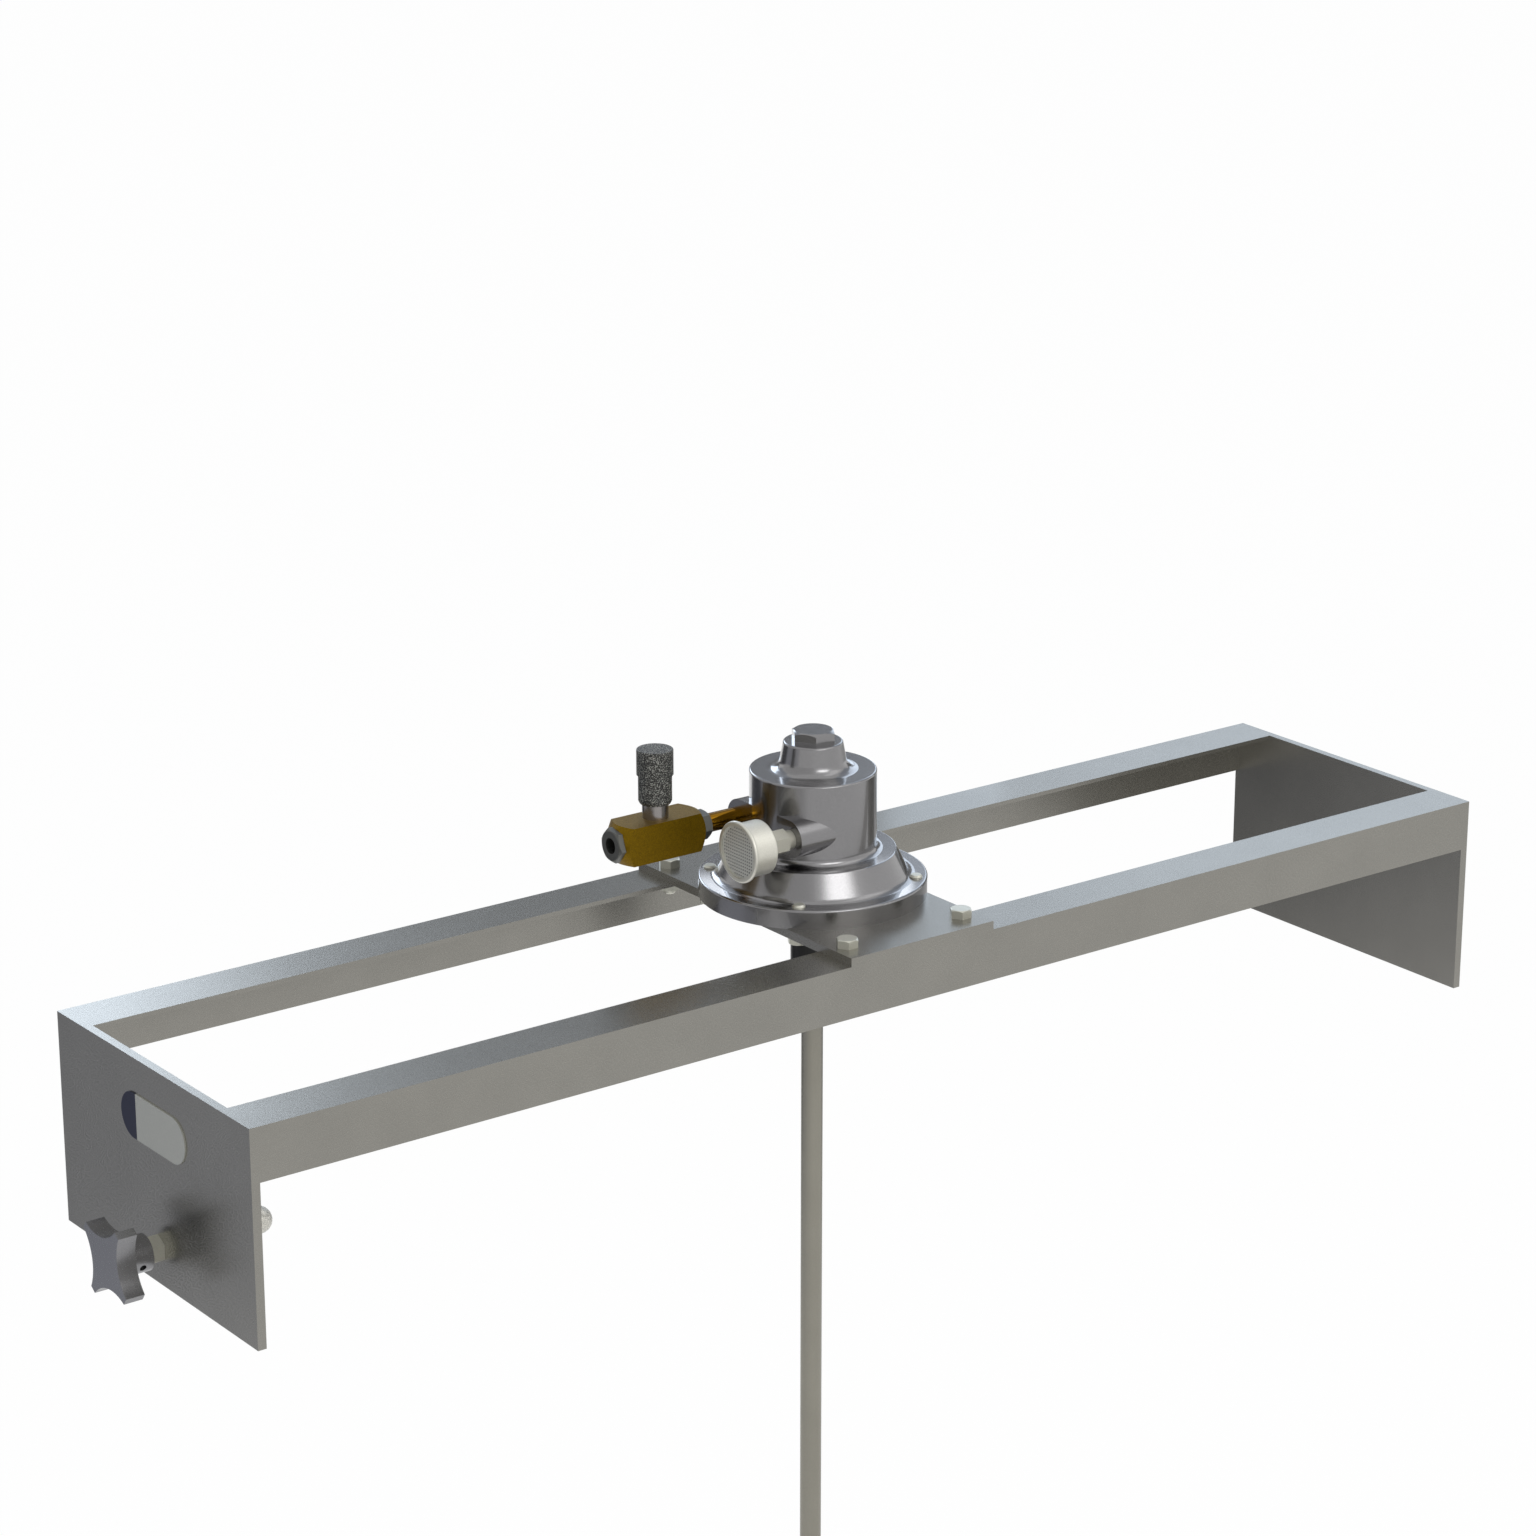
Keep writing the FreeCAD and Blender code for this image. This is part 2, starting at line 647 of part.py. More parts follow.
# Clamp screw
# A threaded rod with a turned-down end that the swivel tip turns on.
hub_end = outer_face - clamp_nut_height - air_gap
hub_start = hub_end - hub_length
knob_face = hub_start - knob_thickness
tip_back = outer_face + tip_reach - tip_barrel
screw_end = tip_back - seat_gap
pin_end = screw_end + tip_barrel
screw_start = hub_start + seat_gap
keep(
    turned(
        "clamp_screw_turned",
        [
            (0.0, 0.0),
            (screw_radius, 0.0),
            (screw_radius, screw_end - screw_start),
            (tip_pin_radius, screw_end - screw_start),
            (tip_pin_radius, pin_end - screw_start),
            (0.0, pin_end - screw_start),
        ],
        screw_start, 0.0, clamp_z, ALONG_X,
    ),
    "clamp_screw",
)

# Knob hub
# A turned hub between the knob and the nut, pinned to the screw by a set screw from the front.
hub = rod("hub_blank", hub_radius, hub_length, hub_start, 0.0, clamp_z, ALONG_X)
hub_bore = rod("hub_bore", screw_radius + seat_gap, hub_length, hub_start, 0.0, clamp_z, ALONG_X)
GRUB_TURN = Rotation(Vector(1, 0, 0), float(grub_turn))
grub_hole = rod("grub_hole", grub_radius + seat_gap, hub_radius * 2, hub_start + hub_length / 2, 0.0, clamp_z,
                GRUB_TURN)
keep(cut("clamp_hub", hub, hub_bore, grub_hole), "clamp_hub")


def set_screw(name, radius, length, inner, x, y, z, turn):
    """A set screw whose inner end lies out from a point along its own Z, with a socket outside."""
    corners = [(0.0, inner), (radius, inner), (radius, inner + length), (0.0, inner + length)]
    body = turned(name, corners, x, y, z, turn)
    sketch = body.newObject("Sketcher::SketchObject", name + "_socket_outline")
    plane = next(feature for feature in body.Origin.OriginFeatures if feature.Role == "XY_Plane")
    sketch.AttachmentSupport = (plane, [""])
    sketch.MapMode = "FlatFace"
    sketch.AttachmentOffset = Placement(Vector(0, 0, inner + length), UP)
    bind(sketch, "AttachmentOffset.Base.z", inner + length)
    sketch.addGeometry(Part.Circle(Vector(0, 0, 0), Vector(0, 0, 1), float(radius / 2)), False)
    sketch.addConstraint(Sketcher.Constraint("Coincident", 0, 3, -1, 1))
    number = sketch.addConstraint(Sketcher.Constraint("Radius", 0, float(radius / 2)))
    bind(sketch, "Constraints[%d]" % number, radius / 2)
    socket = body.newObject("PartDesign::Pocket", name + "_socket")
    socket.Profile = sketch
    socket.Length = float(length / 2)
    bind(socket, "Length", length / 2)
    return body


keep(
    set_screw("hub_set_screw_turned", grub_radius, grub_length, screw_radius, hub_start + hub_length / 2,
              0.0, clamp_z, GRUB_TURN),
    "hub_set_screw",
)

# Star knob
# A four-lobed knob cut from plate: flat-ended lobes with round hollows between them.
knob_corner = turned_about(knob_twist, -lobe_reach, -lobe_reach)
star_square = solid("Part::Box", "star_square", (knob_face, knob_corner[0], clamp_z + knob_corner[1]),
                    Length=knob_thickness, Width=2 * lobe_reach, Height=2 * lobe_reach)
star_square.Placement.Rotation = Rotation(Vector(1, 0, 0), float(knob_twist))
bind(star_square, "Placement.Rotation.Angle", knob_twist)
star_tools = []
for quarter in range(4):
    hollow = turned_about(knob_twist + 45.0 + 90.0 * quarter, scallop_reach + scallop_radius, 0.0)
    star_tools.append(
        rod("hollow_%d" % quarter, scallop_radius, 3 * knob_thickness, knob_face - knob_thickness, hollow[0],
            clamp_z + hollow[1], ALONG_X)
    )
keep(cut("star_knob", star_square, *star_tools), "star_knob")

# Clamp tip
# A swivel pad with a domed nose that presses on the tote's rim and does not turn with the screw.
tip = turned(
    "clamp_tip_turned",
    [
        (tip_pin_radius + running_gap, 0.0),
        (tip_radius, 0.0),
        (tip_radius, tip_barrel + tip_radius),
        (0.0, tip_barrel + tip_radius),
        (0.0, tip_barrel + running_gap),
        (tip_pin_radius + running_gap, tip_barrel + running_gap),
    ],
    tip_back, 0.0, clamp_z, ALONG_X,
)
tip_ball = solid("Part::Sphere", "tip_ball", (tip_back + tip_barrel, 0.0, clamp_z), Radius=tip_radius)
tip_barrel_mask = rod("tip_barrel_mask", tip_radius, tip_barrel, tip_back, 0.0, clamp_z, ALONG_X)
tip_mask = joined("tip_mask", tip_ball, tip_barrel_mask)
keep(common("clamp_tip", tip, tip_mask), "clamp_tip")

# Motor housing
# A cast body: a face flange on the motor plate, a cone up to a ledge, the barrel, and a cap boss with
# a tapped top. Two port bosses point left. The inside is bored for the bearings and the rotor.
housing = turned(
    "housing_turned",
    [
        (0.0, -pilot_depth),
        (pilot_radius, -pilot_depth),
        (pilot_radius, 0.0),
        (flange_radius, 0.0),
        (flange_radius, flange_thickness),
        (cone_foot, flange_thickness),
        (cone_top, ledge_height),
        (barrel_radius, ledge_height),
        (barrel_radius, barrel_height),
        (cap_radius, barrel_height),
        (cap_top_radius, cap_height),
        (0.0, cap_height),
    ],
    0.0, 0.0, deck_top,
)
for name, radius, ring_radius, height in (
    ("flange_edge", flange_round, flange_radius, flange_thickness),
    ("cone_foot_hollow", cone_foot_round, cone_foot, flange_thickness),
    ("cone_edge", cone_edge_round, cone_top, ledge_height),
    ("barrel_foot_hollow", barrel_foot_round, barrel_radius, ledge_height),
    ("barrel_edge", barrel_edge_round, barrel_radius, barrel_height),
    ("cap_foot_hollow", cap_foot_round, cap_radius, barrel_height),
    ("cap_edge", cap_edge_round, cap_top_radius, cap_height),
):
    round_edges(housing, name, radius, ring_at(ring_radius, height))


def port_boss(name, side):
    """A boss with a round outer side, whose flat top and floor run into the barrel."""
    round_side = rod(name + "_round", boss_radius, boss_face, -boss_face, side * port_spread, port_z, ALONG_X)
    rows = sorted((0.0, side * port_spread), key=float)
    levels = (port_z - boss_radius, port_z + boss_radius)
    flat_side = block(name + "_flat", (-boss_face, 0.0), rows, levels)
    return joined(name, round_side, flat_side)


cast = joined("cast_body", housing, port_boss("exhaust_boss", -1), port_boss("inlet_boss", 1))
counterbore = rod("counterbore", plate_flange_radius + seat_gap, pilot_depth + plate_flange, 0.0, 0.0,
                  deck_top - pilot_depth)
chamber = rod("chamber", chamber_radius, chamber_roof, chamber_shift, 0.0, deck_top)
bearing_top = chamber_roof + upper_bearing_width + rotor_gap
top_pocket = rod("top_pocket", upper_bearing_radius + seat_gap, bearing_top, 0.0, 0.0, deck_top)
plug_hole = rod("plug_hole", plug_radius + seat_gap, cap_height, 0.0, 0.0, deck_top + chamber_roof)


def port_hole(name, y, z):
    thread = rod(name + "_thread", pipe_radius + seat_gap, port_depth, -boss_face, y, z, ALONG_X)
    drill = rod(name + "_drill", port_drill, port_reach, -boss_face, y, z, ALONG_X)
    return joined(name, thread, drill)


exhaust_hole = port_hole("exhaust_hole", -port_spread, port_z)
inlet_hole = port_hole("inlet_hole", inlet_y, inlet_z)
tapped_holes = [
    rod("tapped_%d_%d" % (end, side), bolt_radius + seat_gap, 3 * flange_thickness, end * mount_offset,
        side * mount_offset, deck_top - flange_thickness)
    for end in (-1, 1)
    for side in (-1, 1)
]


cap_screw_tip = 2 * plate_flange
cap_screw_places = [
    turned_about(cap_screw_turn + 360.0 * index / cap_screw_count, cap_screw_circle, 0.0)
    for index in range(cap_screw_count)
]
screw_holes = [
    rod("cap_screw_hole_%d" % index, cap_screw_radius + seat_gap, cap_screw_tip, x, y, deck_top)
    for index, (x, y) in enumerate(cap_screw_places)
]
keep(
    cut("motor_housing", cast, counterbore, chamber, top_pocket, plug_hole, exhaust_hole, inlet_hole,
        *tapped_holes, *screw_holes),
    "motor_housing",
)

# Top plug
# A hex plug that closes the tapped hole over the upper bearing.
plug_head_solid = bevelled_hexagon("plug_head", plug_across, plug_head, 0.0, 0.0, deck_top + cap_height)
plug_stem = rod("plug_stem", plug_radius, plug_depth, 0.0, 0.0, deck_top + cap_height - plug_depth)
keep(joined("top_plug", plug_head_solid, plug_stem), "top_plug")

# Drive end plate
# Closes the chamber from below. Its upper disc fills the offset chamber, its bore holds the lower
# bearing and the shaft seal, and six cap screws hold it in the housing.
plate_disc = rod("plate_disc", plate_flange_radius, plate_flange, 0.0, 0.0, deck_top)
plate_spigot = rod("plate_spigot", chamber_radius - seat_gap, chamber_floor, chamber_shift, 0.0, deck_top)
bearing_seat = chamber_floor - lower_bearing_width - rotor_gap
seal_seat = seal_width + rotor_gap
plate_tools = [
    rod("lower_pocket", lower_bearing_radius + seat_gap, chamber_floor, 0.0, 0.0, deck_top + bearing_seat),
    rod("seal_pocket", seal_radius + seat_gap, seal_seat, 0.0, 0.0, deck_top),
    rod("shaft_way", rotor_shaft_radius + air_gap, chamber_floor, 0.0, 0.0, deck_top),
]
head_depth = cap_screw_radius * 2
for index, (x, y) in enumerate(cap_screw_places):
    plate_tools.append(
        rod("plate_screw_%d" % index, cap_screw_radius + bolt_gap / 2, cap_screw_tip, x, y, deck_top)
    )
    plate_tools.append(
        rod("plate_head_%d" % index, cap_screw_head + bolt_gap, head_depth + seat_gap, x, y, deck_top)
    )
keep(cut("drive_end_plate", joined("plate_blank", plate_disc, plate_spigot), *plate_tools), "drive_end_plate")

# End plate screws
# Socket cap screws with their heads sunk into the end plate.
plate_screws = []
for index, (x, y) in enumerate(cap_screw_places):
    plate_screws.append(
        turned(
            "end_plate_screw_%d" % index,
            [
                (cap_socket_radius, 0.0),
                (cap_screw_head, 0.0),
                (cap_screw_head, head_depth),
                (cap_screw_radius, head_depth),
                (cap_screw_radius, cap_screw_tip - bevel),
                (0.0, cap_screw_tip - bevel),
                (0.0, cap_socket_depth),
                (cap_socket_radius, cap_socket_depth),
            ],
            x, y, deck_top,
        )
    )
keep(group("end_plate_screws", plate_screws), "end_plate_screws")


def bearing(label, bore, outer, width, height):
    """A shielded ball bearing: two ring faces with a shallow shield between them."""
    third = (outer - bore) / 3
    return keep(
        turned(
            label + "_turned",
            [
                (bore, 0.0),
                (bore + third, 0.0),
                (bore + third, shield_inset),
                (outer - third, shield_inset),
                (outer - third, 0.0),
                (outer, 0.0),
                (outer, width),
                (outer - third, width),
                (outer - third, width - shield_inset),
                (bore + third, width - shield_inset),
                (bore + third, width),
                (bore, width),
            ],
            0.0, 0.0, height,
        ),
        label,
    )


# Bearings and seal
bearing("upper_bearing", top_journal_radius + running_gap, upper_bearing_radius, upper_bearing_width,
        deck_top + chamber_roof + rotor_gap)
bearing("lower_bearing", rotor_shaft_radius + running_gap, lower_bearing_radius, lower_bearing_width,
        deck_top + bearing_seat)
keep(
    turned(
        "shaft_seal_turned",
        [
            (rotor_shaft_radius + running_gap, 0.0),
            (seal_radius, 0.0),
            (seal_radius, seal_width),
            (seal_radius - seal_wall, seal_width),
            (seal_radius - seal_wall, seal_wall),
            (rotor_shaft_radius + seal_wall, seal_wall),
            (rotor_shaft_radius + running_gap, seal_width / 2),
        ],
        0.0, 0.0, deck_top + rotor_gap,
    ),
    "shaft_seal",
)

# Motor shaft
# One shaft through both bearings and the rotor, down into the coupling, keyed at its lower end.
shaft_foot = -output_length
shaft_step = -pilot_depth
rotor_bottom = chamber_floor + rotor_gap
rotor_top = chamber_roof - rotor_gap
motor_shaft_blank = turned(
    "motor_shaft_turned",
    [
        (0.0, shaft_foot),
        (shaft_radius, shaft_foot),
        (shaft_radius, shaft_step),
        (rotor_shaft_radius, shaft_step),
        (rotor_shaft_radius, chamber_roof),
        (top_journal_radius, chamber_roof),
        (top_journal_radius, chamber_roof + upper_bearing_width),
        (0.0, chamber_roof + upper_bearing_width),
    ],
    0.0, 0.0, deck_top,
)
key_floor = shaft_radius - key_width / 2
key_start = deck_top - output_length + bevel
key_slot = block("key_slot", (key_floor - seat_gap, shaft_radius * 2),
                 (-key_width / 2 - seat_gap, key_width / 2 + seat_gap),
                 (key_start - seat_gap, key_start + key_length + seat_gap))
keep(cut("motor_shaft", motor_shaft_blank, key_slot), "motor_shaft")
key_top = key_floor + key_width
keep(
    block("shaft_key", (key_floor, key_top), (-key_width / 2, key_width / 2),
          (key_start, key_start + key_length)),
    "shaft_key",
)

# Rotor
# A slotted steel drum on the shaft, off the chamber's axis, so that the vanes sweep a crescent.
rotor_radius = chamber_radius - chamber_shift - rotor_gap
rotor_height = rotor_top - rotor_bottom
rotor_drum = rod("rotor_drum", rotor_radius, rotor_height, 0.0, 0.0, deck_top + rotor_bottom)
rotor_bore = rod("rotor_bore", rotor_shaft_radius + seat_gap, rotor_height, 0.0, 0.0, deck_top + rotor_bottom)
vane_gap = seat_gap * 2
slot_floor = rotor_radius - vane_depth - vane_gap
rotor_slots = []
vanes = []
for index in range(vane_count):
    angle = vane_turn + 360.0 * index / vane_count
    slot_at = turned_about(angle, slot_floor, -vane_thickness / 2 - vane_gap)
    vane_at = turned_about(angle, slot_floor + vane_gap, -vane_thickness / 2)
    turn = Rotation(Vector(0, 0, 1), float(angle))
    slot = solid("Part::Box", "slot_%d" % index, (*slot_at, deck_top + rotor_bottom, turn),
                 Length=rotor_radius, Width=vane_thickness + 2 * vane_gap, Height=rotor_height)
    vane = solid("Part::Box", "vane_%d" % index, (*vane_at, deck_top + rotor_bottom, turn),
                 Length=vane_depth, Width=vane_thickness, Height=rotor_height)
    rotor_slots.append(slot)
    vanes.append(vane)
keep(cut("motor_rotor", rotor_drum, rotor_bore, *rotor_slots), "motor_rotor")
keep(group("rotor_vanes", vanes), "rotor_vanes")

# Rigid coupling
# A black sleeve over both shaft ends, keyed to the motor shaft and held by four set screws.
coupling_bottom = coupling_top - coupling_length
sleeve = turned(
    "coupling_sleeve",
    [
        (shaft_radius + seat_gap, 0.0),
        (coupling_radius - bevel, 0.0),
        (coupling_radius, bevel),
        (coupling_radius, coupling_length - bevel),
        (coupling_radius - bevel, coupling_length),
        (shaft_radius + seat_gap, coupling_length),
    ],
    0.0, 0.0, coupling_bottom,
)
keyway = block("keyway", (0.0, key_top + seat_gap), (-key_width / 2 - seat_gap, key_width / 2 + seat_gap),
               (coupling_middle, coupling_top + bevel))
screw_heights = [
    coupling_top - coupling_screw_inset,
    coupling_top - coupling_screw_inset - coupling_screw_pitch,
    coupling_bottom + coupling_screw_inset + coupling_screw_pitch,
    coupling_bottom + coupling_screw_inset,
]
coupling_holes = [
    rod("coupling_hole_%d" % index, coupling_screw_radius + seat_gap, 2 * coupling_radius, 0.0, 0.0, height,
        TO_FRONT)
    for index, height in enumerate(screw_heights)
]
keep(cut("shaft_coupling", sleeve, keyway, *coupling_holes), "shaft_coupling")
coupling_screws = [
    set_screw("coupling_screw_%d" % index, coupling_screw_radius, coupling_radius - shaft_radius - bevel,
              shaft_radius, 0.0, 0.0, height, TO_FRONT)
    for index, height in enumerate(screw_heights)
]
keep(group("coupling_screws", coupling_screws), "coupling_screws")

# Mixer shaft
# A long plain shaft from the coupling down into the tote, bevelled at both ends.
keep(
    turned(
        "mixer_shaft_turned",
        [
            (0.0, 0.0),
            (shaft_radius - bevel, 0.0),
            (shaft_radius, bevel),
            (shaft_radius, mixer_length - bevel),
            (shaft_radius - bevel, mixer_length),
            (0.0, mixer_length),
        ],
        0.0, 0.0, mixer_bottom,
    ),
    "mixer_shaft",
)

# Impeller hub
# A turned hub pinned to the shaft's lower end, with three pairs of lugs for the folding blades.
hub_bottom = mixer_bottom + shaft_foot_out
hinge_z = hub_bottom + hinge_height
fork_gap = knuckle_width + 2 * air_gap
fork_width = fork_gap + 2 * lug_thickness
pin_length = fork_width + 2 * pin_stand_out
gap_start = hinge_reach - lug_radius - air_gap
hub_barrel = turned(
    "impeller_hub_barrel",
    [
        (0.0, 0.0),
        (impeller_hub_radius, 0.0),
        (impeller_hub_radius, impeller_hub_length - hub_top_bevel),
        (impeller_hub_radius - hub_top_bevel, impeller_hub_length),
        (0.0, impeller_hub_length),
    ],
    0.0, 0.0, hub_bottom,
)


def at_hinge(kind, name, angle, corner, turn, **sizes):
    """A solid set out from the shaft along a blade's ray, aside from it and above its hinge."""
    out, aside, rise = corner
    spin = Rotation(Vector(0, 0, 1), float(angle))
    x, y = turned_about(angle, out, aside)
    return solid(kind, name, (x, y, hinge_z + rise, spin.multiply(turn)), **sizes)


def hinge_rod(name, angle, radius, length):
    """A cylinder along a blade's hinge, centred on its ray."""
    return at_hinge("Part::Cylinder", name, angle, (hinge_reach, length / 2, 0.0), TO_FRONT, Radius=radius,
                    Height=length)


blade_angles = [first_blade + 360.0 * index / blade_count for index in range(blade_count)]
hub_pieces = [hub_barrel]
hub_tools = [
    rod("impeller_bore", shaft_radius + seat_gap, 2 * impeller_hub_length, 0.0, 0.0,
        hub_bottom - impeller_hub_length / 2)
]
hinge_pins = []
for index, angle in enumerate(blade_angles):
    hub_pieces.append(hinge_rod("lug_%d" % index, angle, lug_radius, fork_width))
    hub_pieces.append(
        at_hinge("Part::Box", "lug_arm_%d" % index, angle, (0.0, -fork_width / 2, -lug_radius), UP,
                 Length=hinge_reach, Width=fork_width, Height=2 * lug_radius)
    )
    hub_tools.append(
        at_hinge("Part::Box", "fork_gap_%d" % index, angle, (gap_start, -fork_gap / 2, -2 * lug_radius), UP,
                 Length=4 * lug_radius, Width=fork_gap, Height=4 * lug_radius)
    )
    hub_tools.append(hinge_rod("pin_hole_%d" % index, angle, pin_radius + seat_gap, 2 * fork_width))
    hinge_pins.append(hinge_rod("blade_pin_%d" % index, angle, pin_radius, pin_length))
impeller_screw_z = hub_bottom + hub_screw_rise
hub_tools.append(
    rod("impeller_screw_hole", coupling_screw_radius + seat_gap, 2 * impeller_hub_radius, 0.0, 0.0,
        impeller_screw_z, TO_FRONT)
)
keep(cut("impeller_hub", joined("impeller_blank", *hub_pieces), *hub_tools), "impeller_hub")
keep(
    set_screw("impeller_set_screw_turned", coupling_screw_radius, impeller_hub_radius - shaft_radius - bevel,
              shaft_radius, 0.0, 0.0, impeller_screw_z, TO_FRONT),
    "impeller_set_screw",
)
keep(group("blade_pins", hinge_pins), "blade_pins")

# Folding blades
# Each hangs from its pin at rest and swings out when the shaft spins. A pitched plate with rounded
# corners grows out of a knuckle between the two lugs.
face_corners = [
    (-blade_width / 2, -blade_reach),
    (blade_width / 2, -blade_reach),
    (blade_width / 2, -blade_neck),
    (-blade_width / 2, -blade_neck),
]


def lower_corner(edge):
    """A test for the short upright edges at a blade's lower end."""
    ends = [vertex.Point for vertex in edge.Vertexes]
    return len(ends) == 2 and all(abs(p.z + float(blade_reach)) < 0.01 for p in ends) and (
        abs(ends[0].y - ends[1].y) < 0.01)


for number, angle in zip(("one", "two", "three"), blade_angles):
    name = "impeller_blade_" + number
    knuckle = hinge_rod(name + "_knuckle", angle, lug_radius, knuckle_width)
    neck = at_hinge("Part::Box", name + "_neck", angle,
                    (hinge_reach - blade_thickness, -knuckle_width / 2, -blade_neck - blade_lap), UP,
                    Length=2 * blade_thickness, Width=knuckle_width, Height=blade_neck + blade_lap)
    x, y = turned_about(angle, hinge_reach, 0.0)
    face = padded(name + "_face", "YZ_Plane", face_corners, blade_thickness, x, y, hinge_z,
                  Rotation(Vector(0, 0, 1), float(angle + blade_pitch)))
    round_edges(face, name + "_corners", blade_round, lower_corner)
    bore = hinge_rod(name + "_bore", angle, pin_radius + running_gap, 2 * knuckle_width)
    keep(cut(name, joined(name + "_blank", knuckle, neck, face), bore), name)

# Inlet nipple
# A short brass pipe from the valve's outlet bushing into the motor's inlet port.
valve_end = valve_length / 2
outlet_face = -valve_reach + valve_end
nipple_start = outlet_face - bushing_depth / 2
nipple_length = port_depth - bevel - boss_face - nipple_start
nipple_blank = rod("nipple_blank", pipe_radius, nipple_length, nipple_start, inlet_y, inlet_z, ALONG_X)
nipple_way = rod("nipple_way", pipe_bore, nipple_length, nipple_start, inlet_y, inlet_z, ALONG_X)
keep(cut("inlet_nipple", nipple_blank, nipple_way), "inlet_nipple")

# Valve body
# A square brass block with turned ends, ported from both sides. A low way and a high way meet at the
# needle's seat, and the bonnet screws into the top.
half_side = valve_side / 2
slope = sine(valve_cone) / cosine(valve_cone)
corner_reach = half_side * math.sqrt(2)
cone_run = (corner_reach - valve_end_radius) * slope
valve_lathe = turned(
    "valve_lathe",
    [
        (0.0, -valve_end),
        (valve_end_radius, -valve_end),
        (corner_reach, -valve_end + cone_run),
        (corner_reach, valve_end - cone_run),
        (valve_end_radius, valve_end),
        (0.0, valve_end),
    ],
    -valve_reach, inlet_y, inlet_z, ALONG_X,
)
valve_square = block("valve_square", (-valve_reach - valve_end, -valve_reach + valve_end),
                     (inlet_y - half_side, inlet_y + half_side), (inlet_z - half_side, inlet_z + half_side))
stem_x = -valve_reach - stem_side
valve_top = inlet_z + half_side
valve_left = -valve_reach - valve_end
way_length = valve_end + way_radius
valve_tools = [
    rod("valve_left_port", bushing_radius + seat_gap, bushing_depth, valve_left, inlet_y, inlet_z, ALONG_X),
    rod("valve_right_port", bushing_radius + seat_gap, bushing_depth, outlet_face, inlet_y, inlet_z,
        AGAINST_X),
    rod("valve_low_way", way_radius, way_length, valve_left, inlet_y, inlet_z - way_offset, ALONG_X),
    rod("valve_high_way", way_radius, way_length, outlet_face, inlet_y, inlet_z + way_offset, AGAINST_X),
    rod("valve_seat", seat_radius, way_offset, stem_x, inlet_y, inlet_z - way_offset),
    rod("valve_needle_way", needle_radius + running_gap, half_side, stem_x, inlet_y, inlet_z),
    rod("valve_bonnet_hole", bonnet_thread + seat_gap, bonnet_depth + seat_gap, stem_x, inlet_y,
        valve_top - bonnet_depth - seat_gap),
]
keep(cut("valve_body", common("valve_blank", valve_lathe, valve_square), *valve_tools), "valve_body")


BUSHING_TWIST = Rotation(Vector(1, 0, 0), float(hex_twist))


def bushing(label, across, hex_length, bore, face, outward, inward):
    """A hex bushing with its hexagon outside the body's end face and its thread inside."""
    nut = bevelled_hexagon(label + "_hex", across, hex_length, face, inlet_y, inlet_z,
                           BUSHING_TWIST.multiply(outward))
    thread = rod(label + "_thread", bushing_radius, bushing_depth - bevel, face, inlet_y, inlet_z, inward)
    hole = rod(label + "_hole", bore, 2 * hex_length, face, inlet_y, inlet_z, outward)
    inner = rod(label + "_inner", bore, bushing_depth / 2, face, inlet_y, inlet_z, inward)
    way = rod(label + "_way", pipe_bore, 2 * bushing_depth, face, inlet_y, inlet_z, inward)
    return keep(cut(label, joined(label + "_blank", nut, thread), hole, inner, way), label)


# Valve bushings
# The inlet bushing takes the air hose; the outlet bushing takes the pipe to the motor.
bushing("valve_inlet_bushing", inlet_across, inlet_hex_length, air_inlet_radius, valve_left,
        AGAINST_X, ALONG_X)
bushing("valve_outlet_bushing", outlet_across, outlet_hex_length, pipe_radius + seat_gap, outlet_face,
        ALONG_X, AGAINST_X)

# Valve bonnet
# A turned steel sleeve screwed into the block; the stem turns in it and a ring seals it.
bonnet_base = -bonnet_depth
ring_floor = bonnet_height - 2 * seal_ring_width
keep(
    turned(
        "valve_bonnet_turned",
        [
            (stem_radius + running_gap, bonnet_base),
            (bonnet_thread, bonnet_base),
            (bonnet_thread, 0.0),
            (bonnet_radius, 0.0),
            (bonnet_radius, bonnet_height),
            (seal_ring_radius + seat_gap, bonnet_height),
            (seal_ring_radius + seat_gap, ring_floor),
            (stem_radius + running_gap, ring_floor),
        ],
        stem_x, inlet_y, valve_top,
    ),
    "valve_bonnet",
)
keep(
    turned(
        "stem_seal_turned",
        [
            (stem_radius + running_gap, 0.0),
            (seal_ring_radius, 0.0),
            (seal_ring_radius, seal_ring_width),
            (stem_radius + running_gap, seal_ring_width),
        ],
        stem_x, inlet_y, valve_top + ring_floor,
    ),
    "stem_seal",
)

# Valve needle
# A non-turning needle with a conical tip that the stem lifts out of its seat.
needle_shoulder = (needle_radius - needle_point) / needle_slope - needle_reach
needle_top = stem_start - running_gap
keep(
    turned(
        "valve_needle_turned",
        [
            (0.0, -needle_reach),
            (needle_point, -needle_reach),
            (needle_radius, needle_shoulder),
            (needle_radius, needle_top),
            (0.0, needle_top),
        ],
        stem_x, inlet_y, inlet_z,
    ),
    "valve_needle",
)

